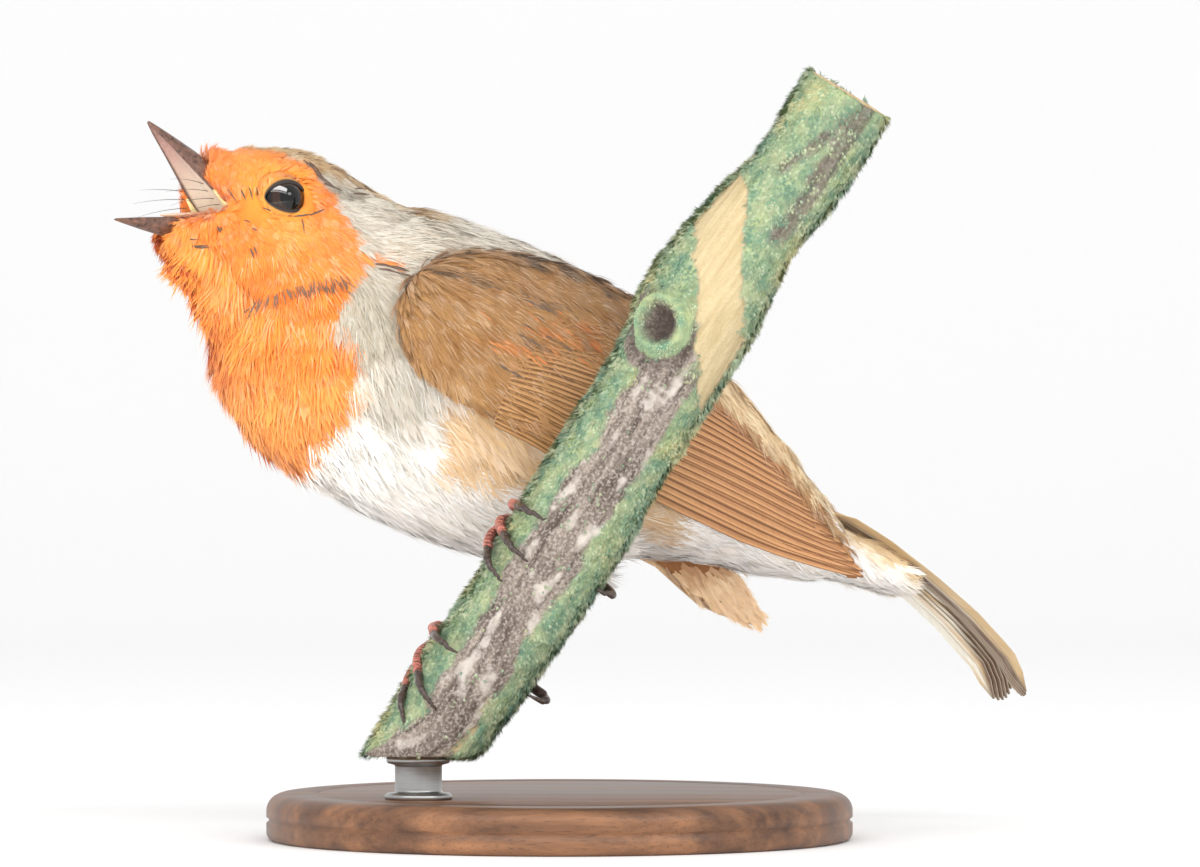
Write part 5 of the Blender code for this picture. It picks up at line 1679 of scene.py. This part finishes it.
QUILL_COUNT, COVERT_COUNT = 22, 19
QUILL_ROWS, QUILL_ACROSS = 18, 9
ROOT_PATH = [(-15.5, 51.6), (-14.6, 54.6), (-13.6, 57.8), (-11.5, 60.6)]
TIP_PATH = [(38.6, 32.3), (37.9, 33.9), (35.7, 36.9), (32.3, 40.6), (27.6, 44.9), (22.2, 49.2), (16.4, 53.9),
            (10, 57.6)]
COVERT_ROOTS = [(-15.6, 51.0), (-14.6, 54.4), (-12.8, 58.0), (-9.6, 61.0)]
COVERT_LEANS = [(10.0, -5.2), (10.0, -4.6), (10.6, -3.6), (11.0, -3.4)]
# The grid of the side view on which the wing's outer face is measured.
FIELD_STEP = 0.5
FIELD_X, FIELD_Z = np.arange(-36.0, 48.0, FIELD_STEP), np.arange(22.0, 82.0, FIELD_STEP)


def side_field(node, side):
    """How far out a wing's outer face stands at each place of the side view, carried on past its edge."""
    search = tree_of(node)
    field = np.full((len(FIELD_X), len(FIELD_Z)), np.nan)
    for i, x in enumerate(FIELD_X):
        for j, z in enumerate(FIELD_Z):
            met, _ = from_side(search, side, x, z)
            if met:
                field[i, j] = abs(met[1])
    for _ in range(16):
        shifts = [np.roll(field, (a, b), (0, 1)) for a in (-1, 0, 1) for b in (-1, 0, 1)]
        known = np.sum([~np.isnan(s) for s in shifts], 0)
        total = np.sum([np.nan_to_num(s) for s in shifts], 0)
        grow = np.isnan(field) & (known > 2)
        field[grow] = total[grow] / known[grow]
    field = np.nan_to_num(field, nan=8.0)
    for _ in range(3):
        field = (field + np.roll(field, 1, 0) + np.roll(field, -1, 0) + np.roll(field, 1, 1)
                 + np.roll(field, -1, 1)) / 5
    return field


def laid(field, side, places, off):
    """Points of the bird's own frame at places in the side view, off millimetres above the wing."""
    def read(array):
        """A value of the field between its four nearest places."""
        i = np.clip((x - FIELD_X[0]) / FIELD_STEP, 0, len(FIELD_X) - 1.001)
        j = np.clip((z - FIELD_Z[0]) / FIELD_STEP, 0, len(FIELD_Z) - 1.001)
        a, b = i.astype(int), j.astype(int)
        u, w = i - a, j - b
        return ((1 - u) * (1 - w) * array[a, b] + u * (1 - w) * array[a + 1, b]
                + (1 - u) * w * array[a, b + 1] + u * w * array[a + 1, b + 1])

    x, z = places[:, 0], places[:, 1]
    slope_x, slope_z = np.gradient(field, FIELD_STEP)
    normal = unit(np.stack([-read(slope_x), np.full(len(x), float(side)), -read(slope_z)], 1))
    at = np.stack([x, side * read(field), z], 1)
    return at + normal * off[:, None]


def blade_faces(rows, columns):
    """Faces of one closed blade whose upper and lower sheets are grids of this size."""
    half = rows * columns
    faces = grid_faces(rows, columns, False)
    faces += [tuple(half + i for i in face[::-1]) for face in faces]
    for i in range(rows - 1):
        for j in (0, columns - 1):
            a, b = i * columns + j, (i + 1) * columns + j
            faces.append((a, b, half + b, half + a) if j == 0 else (b, a, half + a, half + b))
    for j in range(columns - 1):
        for i in (0, rows - 1):
            a, b = i * columns + j, i * columns + j + 1
            faces.append((b, a, half + a, half + b) if i == 0 else (a, b, half + b, half + a))
    return faces


def blades(name, feathers, plain_below=1.0):
    """One mesh of many closed blades: each (top, bottom, along, across, gap to the edge, two colours).

    plain_below is how much of the look's own tone covers the lower sheets.
    """
    points, faces, lie, edge, tint, under, spots = [], [], [], [], [], [], []
    wide = 0.94 / len(feathers)
    for number, (top, bottom, along_mm, across_mm, gap_mm, colours) in enumerate(feathers):
        rows, columns = along_mm.shape
        v = np.repeat(np.linspace(0, 1, rows), columns)
        u = np.tile(np.linspace(0, 1, columns), rows)
        faces += [tuple(len(points) + i for i in face) for face in blade_faces(rows, columns)]
        for low, sheet in enumerate((top, bottom)):
            points += sheet.tolist()
            lie += np.stack([along_mm.ravel(), across_mm.ravel(), np.full(u.size, number * 3.7)], 1).tolist()
            edge += gap_mm.ravel().tolist()
            tint += colours[low].tolist()
            under += [plain_below * low] * (rows * columns)
            spots += np.stack([0.03 + wide * (number + 0.05 + 0.9 * u),
                               0.02 + 0.46 * v + 0.5 * low], 1).tolist()
    made = closed_piece(name, points, faces)
    made.data.set_sharp_from_angle(angle=math.radians(50))
    store(made, "lie", "FLOAT_VECTOR", lie)
    store(made, "edge", "FLOAT", edge)
    store(made, "under", "FLOAT", under)
    store(made, "tint", "FLOAT_COLOR", opaque(tint))
    unwrap(made, spots)
    return made


def vane_look(name, dark, pale, under_tone):
    """Feather vane: fine slanting barbs, dark shaft, a pale then a painted-shadow dark line along its lower
    edge.
    """
    look, tree, shader = new_look(name, 0.62)
    shader.inputs["Sheen Weight"].default_value = 0.1
    tint = kept(tree, "tint", "Color")
    lie = kept(tree, "lie", "Vector")
    edge = kept(tree, "edge")
    under = kept(tree, "under")
    parts = add(tree, "ShaderNodeSeparateXYZ", {0: lie}).outputs
    away = add(tree, "ShaderNodeMath", {0: parts[1]}, operation="ABSOLUTE").outputs[0]
    slant = sum_of(tree, "MULTIPLY_ADD", away, -1.3, parts[0])
    barb_place = add(tree, "ShaderNodeCombineXYZ", {"X": sum_of(tree, "MULTIPLY", slant, 5.0),
                                                    "Y": sum_of(tree, "MULTIPLY", parts[1], 0.5),
                                                    "Z": parts[2]}).outputs[0]
    barbs = grain(tree, barb_place, 1.0, 3.0, 0.6)
    broad_lie = add(tree, "ShaderNodeVectorMath", {0: lie, 1: (0.25, 0.5, 1.0)}, operation="MULTIPLY")
    patches = grain(tree, broad_lie.outputs[0], 1.0, 3.0, 0.5)
    tone = mix(tree, spread(tree, barbs, 0.35, 0.65, 0.55, 0.0), tint, times(tree, tint, dark))
    tone = mix(tree, spread(tree, patches, 0.45, 0.65, 0.0, 0.35), tone, mix(tree, 0.4, tint, pale))
    tone = mix(tree, spread(tree, edge, 0.2, 0.42, 0.75, 0.0), tone, mix(tree, 0.6, tint, pale))
    # The dark line at the very lower edge is painted shadow of the gap where one vane lies over the next.
    tone = mix(tree, spread(tree, edge, 0.06, 0.17, 0.85, 0.0), tone, times(tree, tint, (0.34, 0.28, 0.25)))
    tone = mix(tree, spread(tree, away, 0.05, 0.1, 0.85, 0.0), tone, times(tree, tint, (0.3, 0.24, 0.2)))
    below = mix(tree, spread(tree, barbs, 0.35, 0.65), times(tree, under_tone, (0.72, 0.66, 0.6)), under_tone)
    paint(tree, shader, mix(tree, under, tone, below))
    relief(tree, shader, barbs, 0.35, 0.00012)
    return look


def quill(field, side, root, tip, bow, outer_mm, inner_mm, lift, tilt, blunt, tint_of):
    """One vane laid on a wing from root to tip, both in the left wing's side view."""
    t = np.linspace(0.0, 1.0, QUILL_ROWS) ** 0.9
    straight = tip - root
    length = np.linalg.norm(straight)
    ahead = straight / length
    upward = np.array([-ahead[1], ahead[0]])
    line = root + t[:, None] * straight + (bow * 4 * t * (1 - t) * (1 - 0.25 * t))[:, None] * upward
    heading = unit(np.gradient(line, axis=0))
    up_line = np.stack([-heading[:, 1], heading[:, 0]], 1)
    round_off = np.clip((1 - t) / blunt, 0, 1)
    full = np.sqrt(1 - (1 - round_off) ** 2 * 0.985) * ease(t, -0.3, 0.12)
    share = np.linspace(0.0, 1.0, QUILL_ACROSS)
    across = np.where(share < 0.34, -(1 - share / 0.34), (share - 0.34) / 0.66)
    across_mm = np.where(across < 0, across * outer_mm, across * inner_mm)[None, :] * full[:, None]
    places = (line[:, None, :] + up_line[:, None, :] * across_mm[:, :, None]).reshape(-1, 2)
    rise = lift + tilt * (1 - share) + 0.05 * (np.abs(across) < 0.1)
    thin = 0.05 + 0.06 * (1 - np.abs(2 * share - 1))
    moved = wing_place(side, places)
    top = laid(field, side, moved, np.tile(rise, QUILL_ROWS))
    bottom = laid(field, side, moved, np.tile(rise - thin, QUILL_ROWS))
    along_mm = np.broadcast_to((t * length)[:, None], across_mm.shape)
    gap = np.minimum(across_mm - across_mm[:, :1], (1 - t)[:, None] * length * 0.6)
    colour = tint_of(places, top)
    return stood(top), stood(bottom), along_mm, across_mm, gap, (colour, colour)


def along_path(path, share):
    """The point a share of the way along a path, by its corners."""
    at = share * (len(path) - 1)
    return np.array([np.interp(at, np.arange(len(path)), column) for column in zip(*path)])


quill_look = vane_look("wing_quill", (0.6, 0.5, 0.42), srgb(216, 164, 112), srgb(240, 206, 164))
for side, side_name in SIDES:
    field = side_field(f"wing_{side_name}", side)
    rng = np.random.default_rng(70)
    feathers = []
    for k in range(QUILL_COUNT):
        share = k / (QUILL_COUNT - 1)
        root, tip = along_path(ROOT_PATH, share), along_path(TIP_PATH, share ** 0.9)
        tip = tip + rng.uniform(-0.25, 0.25, 2)
        shade = 1.0 + 0.07 * rng.uniform(-1, 1)
        feathers.append(quill(field, side, root, tip, -1.0 + 6.8 * share, 0.75, 3.1 - 0.6 * (1 - share),
                              -0.14, 0.5, 0.22, lambda flat, at: wing_painted(flat, at) * shade))
    put(blades(f"wing_quills_{side_name}", feathers), quill_look, "flight_feathers")
    rows_of_coverts = []
    for k in range(COVERT_COUNT):
        share = k / (COVERT_COUNT - 1)
        root = along_path(COVERT_ROOTS, share)
        tip = root + along_path(COVERT_LEANS, share) + rng.uniform(-0.9, 0.9, 2)
        rows_of_coverts.append(quill(field, side, root, tip, 0.4, 0.6, 1.3, 0.1, 0.34, 0.35,
                                     lambda flat, at: wing_painted(flat - [6.0, 0.0], at)))
    put(blades(f"wing_greater_coverts_{side_name}", rows_of_coverts), quill_look, "flight_feathers")


# ---- Wings: shaft streaks ---------------------------------------------------------------------
# The dark shafts and orange-brown fringes of single coverts, as narrow blades on top of the rest.

wing_rng = np.random.default_rng(52)
STREAK_TONES = (srgb(208, 118, 52), srgb(206, 128, 66), srgb(98, 80, 66))
SHOULDER_EDGE = [(-25.4, 71.4), (-21.8, 70.4), (-18.5, 69.4), (-12.0, 67.4), (-7.0, 65.0)]
STREAKS = [(SHOULDER_EDGE, 0.16, 2.6, "along", srgb(92, 74, 62))]
STREAKS += [(path, 0.15, 2.2, "along", srgb(84, 68, 58)) for path, _, _ in WING_MARKS[1:]]
for _ in range(46):
    middle = np.array([wing_rng.uniform(-19.0, 3.0), 0.0])
    middle[1] = np.interp(middle[0], [-19.0, 3.0], [62.0, 60.5]) + wing_rng.uniform(-3.0, 5.0)
    lean = math.radians(wing_rng.uniform(-46.0, -28.0))
    half = wing_rng.uniform(0.8, 1.6)
    way = half * np.array([math.cos(lean), math.sin(lean)])
    tone = STREAK_TONES[wing_rng.integers(0, 3)]
    STREAKS.append(([middle - way, middle + way], wing_rng.uniform(0.07, 0.14), 3.4, "along", tone))
for side, side_name in SIDES:
    placed = [(wing_place(side, path), *rest) for path, *rest in STREAKS]
    streaks = laid_plumes(f"wing_streaks_{side_name}", tree_of(f"wing_{side_name}"), side, placed, 33)
    put(streaks, plume_look, "back_feathers")


# ---- Tail -------------------------------------------------------------------------------------
# Twelve long feathers folded in a narrow fan, the middle pair on top. Above they are brown with
# buff edges. Below they show buff at the near edge, then a dark band, then buff streaks to white.

TAIL_PAIRS = 6
TAIL_ROWS, TAIL_ACROSS = 16, 9
TAIL_FROM, TAIL_TO = -6.5, 33.9


def tail_painted(distance, across):
    """The tail's colours above and below, by the distance from its root and how far across it."""
    spots = np.stack([distance / 5.0, across * 1.3, np.zeros_like(across)], 1)
    streak = cloud(spots, 1.0, 31.0)
    fine = cloud(spots * [0.6, 3.0, 1.0], 1.0, 32.0)
    above = np.tile(srgb(150, 124, 96), (len(distance), 1))
    above = lay(above, ease(streak + 0.5 * fine, 0.0, 0.6), srgb(186, 152, 112))
    above = lay(above, 0.75 * ease(-distance, -3.5, 1.5), srgb(222, 194, 148))
    from_left = across + 7.6
    wide = np.interp(distance, [0.0, 7.0, 14.0, 24.0, 34.0], [3.9, 5.0, 6.8, 9.4, 13.6]) + 0.7 * streak
    band_from = np.interp(distance, [0.0, 26.0, 34.0], [3.7, 3.3, 1.8]) + 0.3 * streak
    below = np.tile(srgb(246, 243, 230), (len(distance), 1))
    streaks = ease(-(from_left - wide), -5.5, -1.0) * ease(fine + 0.4 * streak, -0.25, 0.2)
    below = lay(below, streaks, srgb(212, 176, 124))
    band = ease(from_left, band_from - 0.3, band_from + 0.3) * ease(-(from_left - wide), -0.7, 0.4)
    below = lay(below, band, srgb(106, 76, 50))
    below = lay(below, ease(-(from_left - band_from), -0.1, 0.4), srgb(214, 184, 136))
    return above, below


tail_feathers = []
for pair in range(TAIL_PAIRS):
    for side in (-1, 1):
        t = np.linspace(0.0, 1.0, TAIL_ROWS) ** 0.85
        reach_mm = TAIL_TO - 0.35 * (pair - 2.5) ** 2 * 0.3 - 0.25 * (side > 0)
        distance = TAIL_FROM + (reach_mm - TAIL_FROM) * t
        opened = ease(distance, TAIL_FROM, 1.0)
        middle = side * (0.55 + 0.93 * pair) * (0.86 + 0.14 * t) * (0.45 + 0.55 * opened)
        round_off = np.clip((1 - t) / 0.16, 0, 1)
        full = np.sqrt(1 - (1 - round_off) ** 2 * 0.985) * (0.84 + 0.16 * t) * 2.6 * (0.55 + 0.45 * opened)
        share = np.linspace(-1.0, 1.0, TAIL_ACROSS)
        across = middle[:, None] + full[:, None] * share
        level = 0.5 - 0.2 * pair - 0.03 * (side > 0)
        rise = level + 0.06 * (1 - share ** 2)
        rooted = (1.2 + 0.3 * pair) * (1 - ease(distance, TAIL_FROM, -1.0))
        rise = rise + (np.interp(distance, TAIL_LEVELS[:, 0], TAIL_LEVELS[:, 1]) - rooted)[:, None]
        start = np.array([TAIL_START_AT[0], 0.0, TAIL_START_AT[1]])
        base = start + distance[:, None, None] * tail_back + across[:, :, None] * np.array([0.0, 1.0, 0.0])
        top = base + rise[:, :, None] * tail_up
        thin = 0.05 + 0.08 * (1 - np.abs(share))
        bottom = top - thin[:, None] * tail_up
        along_mm = np.broadcast_to(distance[:, None], across.shape)
        across_mm = across - middle[:, None]
        gap = full[:, None] + side * across_mm + 0.12
        colours = tail_painted(along_mm.ravel(), across.ravel())
        tail_feathers.append((stood(top.reshape(-1, 3)), stood(bottom.reshape(-1, 3)), along_mm, across_mm,
                              gap, colours))

tail_look = vane_look("tail_quill", (0.66, 0.58, 0.5), (0.85, 0.74, 0.56), (1.0, 1.0, 1.0))
tail_vanes = blades("tail_quills", tail_feathers, plain_below=0.0)
put(tail_vanes, tail_look, "flight_feathers", "tail")


# ---- Feet -------------------------------------------------------------------------------------
# Thin legs and long toes in reddish-brown scales: broad overlapping scutes on top with dark joins,
# fine grains and swollen pads below. Three toes reach round one side of the branch, one the other.

TOES = ("inner", "middle", "outer", "hallux")
FOOT_ROUND, TOE_THICK, TOE_CLEAR = 160.0, 0.82, 0.3
# How far up the branch each foot sits, and where each toe ends: how far up and how many degrees round.
FEET = {"left": {"up": 33.5, "inner": (28.8, 66.0), "middle": (31.6, 56.0), "outer": (35.6, 66.0),
                 "hallux": (32.8, 246.0)},
        "right": {"up": 17.5, "inner": (16.8, 68.0), "middle": (11.2, 60.0), "outer": (7.8, 76.0),
                  "hallux": (16.0, 246.0)}}
SCUTE_STEP = 0.95
LEG_STEPS, BALL_RADIUS = 60, 1.12
CLAW_REACH = 5.2
LIMB_SIDES, TOE_STEPS, CLAW_STEPS = 20, 70, 34
# Rows of a claw from its root to its point: share of the way, half thickness, and rise over the toe's line.
CLAW_ROWS = [(-0.06, 0.56, 0), (0.12, 0.56, 0.14), (0.35, 0.5, 0.62), (0.6, 0.4, 0.74), (0.82, 0.26, 0.28),
             (0.94, 0.15, -0.2), (1, 0.05, -0.44)]

perch_up, _, perch_off = on_branch_line(perch_points)
radius_fit = np.polyfit(perch_up, perch_off, 6)


def on_bark(up, round_deg, off):
    """The point this far up and round, and this far off the bark."""
    return branch_place(up, round_deg, float(np.polyval(radius_fit, up)) + off)


def limb(path, outward, thick, scutes, pads):
    """Points of a scaled toe or leg: scutes on the side that faces outward, pads on the other."""
    path = np.array(path)
    ahead = unit(np.gradient(path, axis=0))
    length = np.concatenate([[0.0], np.cumsum(np.linalg.norm(np.diff(path, axis=0), axis=1))])
    points, scale = [], []
    for i, point in enumerate(path):
        top = unit(outward[i] - ahead[i] * (outward[i] @ ahead[i]))
        across = np.cross(ahead[i], top)
        saw = (length[i] / scutes) % 1.0
        for a in np.arange(LIMB_SIDES) * 2 * math.pi / LIMB_SIDES:
            upper = float(ease(math.cos(a), -0.25, 0.2))
            join = float(ease(-min(saw, 1 - saw), -0.09, 0.0))
            swell = (0.075 * (1 - saw) ** 0.7 - 0.05 * join) * upper
            swell += pads * (1 - upper) * 0.12 * math.cos(2 * math.pi * length[i] / 2.9)
            radius = thick[i] * (1 + swell)
            points.append(point + radius * (math.cos(a) * top + 0.92 * math.sin(a) * across))
            scale.append((length[i], a * thick[i], upper))
    return points, capped_rings(len(path), LIMB_SIDES), scale


def merged(name, shapes):
    """One closed piece of several limbs, which keeps how its scales lie."""
    points, faces, scale = [], [], []
    for limb_points, limb_faces, limb_scale in shapes:
        faces += [tuple(len(points) + i for i in face) for face in limb_faces]
        points += limb_points
        scale += limb_scale
    made = closed_piece(name, points, faces)
    store(made, "lie", "FLOAT_VECTOR", scale)
    return made


scale_look, tree, shader = new_look("leg_scales", 0.42, Coat_Weight=0.15, Coat_Roughness=0.3)
lie = kept(tree, "lie", "Vector")
place = object_place(tree)
along, _, upper_in = add(tree, "ShaderNodeSeparateXYZ", {0: lie}).outputs
saw = sum_of(tree, "FRACT", sum_of(tree, "DIVIDE", along, SCUTE_STEP), 0.0)
join = sum_of(tree, "MINIMUM", saw, sum_of(tree, "SUBTRACT", 1.0, saw))
mottle_and_highlights = grain(tree, place, 1500.0, 4.0)
grains = add(tree, "ShaderNodeTexVoronoi", {"Vector": place, "Scale": 3200.0}).outputs["Distance"]
tone = mix(tree, spread(tree, mottle_and_highlights, 0.35, 0.65), srgb(148, 84, 74), srgb(204, 124, 106))
# Pale patches on the scutes are painted highlights; the same noise gives the scales' uneven tone.
tone = mix(tree, spread(tree, mottle_and_highlights, 0.58, 0.72, 0.0, 0.6), tone, srgb(226, 172, 150))
plain = mix(tree, spread(tree, grains, 0.1, 0.5), srgb(186, 120, 104), srgb(120, 72, 64))
on_top = spread(tree, upper_in, 0.3, 0.7)
tone = mix(tree, on_top, plain, tone)
dark_join = sum_of(tree, "MULTIPLY", spread(tree, join, 0.05, 0.13, 0.9, 0.0), on_top)
tone = mix(tree, dark_join, tone, srgb(62, 38, 36))
paint(tree, shader, tone)
height = sum_of(tree, "MULTIPLY_ADD", spread(tree, join, 0.0, 0.14), 0.6, grains)
relief(tree, shader, height, 0.5, 0.00012)

for side_name, hold in FEET.items():
    shapes = []
    hub = on_bark(hold["up"], FOOT_ROUND, TOE_THICK + TOE_CLEAR + 0.25)
    row = int(np.interp(hold["up"], branch_length, BRANCH_ROWS))
    away = unit(hub - branch_line[row])
    for toe in TOES:
        end_up, end_round = hold[toe]
        path, outward, thick = [], [], []
        for s in np.linspace(0.0, 1.0, TOE_STEPS):
            off = TOE_THICK * (1.0 + 0.1 * math.sin(math.pi * s)) + TOE_CLEAR
            up = hold["up"] + (end_up - hold["up"]) * s
            turn = FOOT_ROUND + (end_round - FOOT_ROUND) * s
            path.append(on_bark(up, turn, off))
            outward.append(unit(path[-1] - on_bark(up, turn, off - 3.0)))
            knuckle = 0.06 * math.cos(2 * math.pi * s * 3.0) * math.sin(math.pi * min(s * 1.2, 1.0))
            end = float(ease(s, 0.965, 1.0))
            thick.append(TOE_THICK * ((1.0 - 0.3 * s) * (1 + knuckle) * (1 - 0.35 * end)))
        shapes.append(limb(path, outward, thick, SCUTE_STEP, 1.0))
    leg_points = node_mesh(f"tarsus_{side_name}")[0]
    middle = leg_points.mean(axis=0)
    rise = unit(np.linalg.svd(leg_points - middle)[2][0])
    rise = rise * np.sign((middle - hub) @ rise)
    reach = (leg_points - middle) @ rise
    path = [middle + rise * d for d in np.linspace(reach.min() - 0.9, reach.max() + 1.6, LEG_STEPS)]
    thick = [0.9 * (1 + 0.22 * float(ease(-s, -0.12, 0.0)) + 0.18 * float(ease(s, 0.85, 1.0)))
             for s in np.linspace(0, 1, LEG_STEPS)]
    shapes.append(limb(path, [-away] * LEG_STEPS, thick, SCUTE_STEP * 1.5, 0.2))
    ball_steps = np.linspace(-0.98, 1.1, 16)
    ball_path = [hub + away * d for d in ball_steps]
    ball_thick = [BALL_RADIUS * math.sqrt(max(1 - (d / BALL_RADIUS) ** 2, 0.03)) for d in ball_steps]
    shapes.append(limb(ball_path, [branch_along[row]] * len(ball_steps), ball_thick, 9.0, 0.0))
    scaled = merged(f"foot_{side_name}_scaled", shapes)
    put(scaled, scale_look, "leg_scales", f"foot_{side_name}", f"tarsus_{side_name}")


# ---- Claws ------------------------------------------------------------------------------------
# Strongly curved dark horn, round above and flatter at the sides, each drawn out to a fine point.

claw_look, tree, shader = new_look("claw_horn", 0.3, Coat_Weight=0.3, Coat_Roughness=0.2)
lie = kept(tree, "lie", "Vector")
layers = grain(tree, lie, 1.0, 3.0, stretch=(3.0, 0.6, 1.0))
paint(tree, shader, mix(tree, spread(tree, layers, 0.35, 0.65), srgb(38, 30, 28), srgb(78, 62, 54)))
feed(tree, shader.inputs["Roughness"], spread(tree, layers, 0.3, 0.7, 0.24, 0.4))

for side_name, hold in FEET.items():
    for toe in TOES:
        end_up, end_round = hold[toe]
        turn_way = 1.0 if end_round > FOOT_ROUND else -1.0
        slide = (end_up - hold["up"]) / abs(end_round - FOOT_ROUND)
        sweep_deg = math.degrees(CLAW_REACH / (float(np.polyval(radius_fit, end_up)) + TOE_THICK))
        path, outward, thick = [], [], []
        for share, half, lift in smooth_rows(CLAW_ROWS, CLAW_STEPS):
            angle = sweep_deg * share
            at = (end_up + slide * angle, end_round + turn_way * angle)
            path.append(on_bark(*at, TOE_THICK + TOE_CLEAR + lift * (1.8 if toe == "hallux" else 1.0)))
            outward.append(unit(path[-1] - on_bark(*at, -3.0)))
            thick.append(half * (1.25 if toe == "hallux" else 1.0))
        claw = merged(f"claw_{side_name}_{toe}_horn", [limb(path, outward, thick, 50.0, 0.0)])
        put(claw, claw_look, "claw_horn", f"claw_{side_name}_{toe}")


# ---- Floor, light and camera ------------------------------------------------------------------
# A plain white sweep, floor into wall, under an even white sky. A long soft key lamp stands above
# and in front, a weaker one to the right, and two faint ones at the left and low down lift the
# shadows. One more lamp shines on the eyes alone. The camera looks level at the bird's left side.

SWEEP_HALF_WIDTH, SWEEP_HEIGHT, SWEEP_BEND = 4000.0, 2500.0, 700.0
SWEEP_FRONT, SWEEP_BACK = -2500.0, 1500.0
CAMERA_AT = (5.24, -891.0, 52.6)
VIEW_WIDTH, VIEW_DISTANCE, SENSOR_WIDTH = 157.2, 900.0, 36.0

sweep = [(SWEEP_FRONT, 0.0), (SWEEP_BACK - SWEEP_BEND, 0.0)]
sweep += [(SWEEP_BACK - SWEEP_BEND + SWEEP_BEND * math.sin(a), SWEEP_BEND * (1 - math.cos(a)))
          for a in np.linspace(0.1, math.pi / 2, 16)]
sweep += [(SWEEP_BACK, SWEEP_HEIGHT)]
points = [(side * SWEEP_HALF_WIDTH, y, z) for y, z in sweep for side in (-1, 1)]
faces = [(2 * k, 2 * k + 1, 2 * k + 3, 2 * k + 2) for k in range(len(sweep) - 1)]
floor = new_piece("floor_sweep", points, faces)
paper, tree, shader = new_look("white_sweep", 0.95)
fibres = grain(tree, object_place(tree), 3.0)
paint(tree, shader, mix(tree, fibres, (0.965, 0.965, 0.965), (0.975, 0.975, 0.975)))
floor.data.materials.append(paper)

sky = bpy.data.worlds.new("white_sky")
sky.use_nodes = True
sky.node_tree.nodes["Background"].inputs["Color"].default_value = (1.0, 1.0, 1.0, 1.0)
sky.node_tree.nodes["Background"].inputs["Strength"].default_value = 0.86
bpy.context.scene.world = sky


def soft_lamp(name, place, aim, width, height, power):
    """A rectangular lamp, its sizes in millimetres and its power in watts, turned to face a point."""
    lamp = bpy.data.lights.new(name, "AREA")
    lamp.shape = "RECTANGLE"
    lamp.size, lamp.size_y = width * MM, height * MM
    lamp.energy = power
    obj = in_scene(name, lamp)
    obj.location = np.array(place) * MM
    obj.rotation_euler = (Vector(aim) - Vector(place)).to_track_quat("-Z", "Y").to_euler()
    return obj


bird_middle = (-5.0, 9.0, 55.0)
soft_lamp("key_lamp", (-160.0, -700.0, 780.0), bird_middle, 1500.0, 110.0, 3.7)
soft_lamp("fill_lamp", (640.0, -520.0, 620.0), bird_middle, 320.0, 220.0, 1.3)
soft_lamp("side_lamp", (-640.0, -240.0, 50.0), bird_middle, 500.0, 80.0, 0.8).visible_glossy = False
soft_lamp("low_lamp", (-60.0, -560.0, 40.0), bird_middle, 700.0, 70.0, 2.3).visible_glossy = False

eye_light = bpy.data.collections.new("eye_light")
for _, side_name in SIDES:
    eye_light.objects.link(bpy.data.objects[f"eye_{side_name}_glass"])
catch_lamp = soft_lamp("catch_lamp", (-100.0, -420.0, 900.0), (-41.0, 0.0, 81.0), 1100.0, 360.0, 22.0)
catch_lamp.visible_diffuse = False
catch_lamp.light_linking.receiver_collection = eye_light

camera = bpy.data.cameras.new("camera")
camera.sensor_width = SENSOR_WIDTH
camera.lens = SENSOR_WIDTH * VIEW_DISTANCE / VIEW_WIDTH
camera.clip_start, camera.clip_end = 0.05, 20.0
camera_obj = in_scene("camera", camera)
camera_obj.location = np.array(CAMERA_AT) * MM
camera_obj.rotation_euler = (math.pi / 2, 0.0, 0.0)
bpy.context.scene.camera = camera_obj
bpy.context.scene.view_settings.view_transform = "Standard"
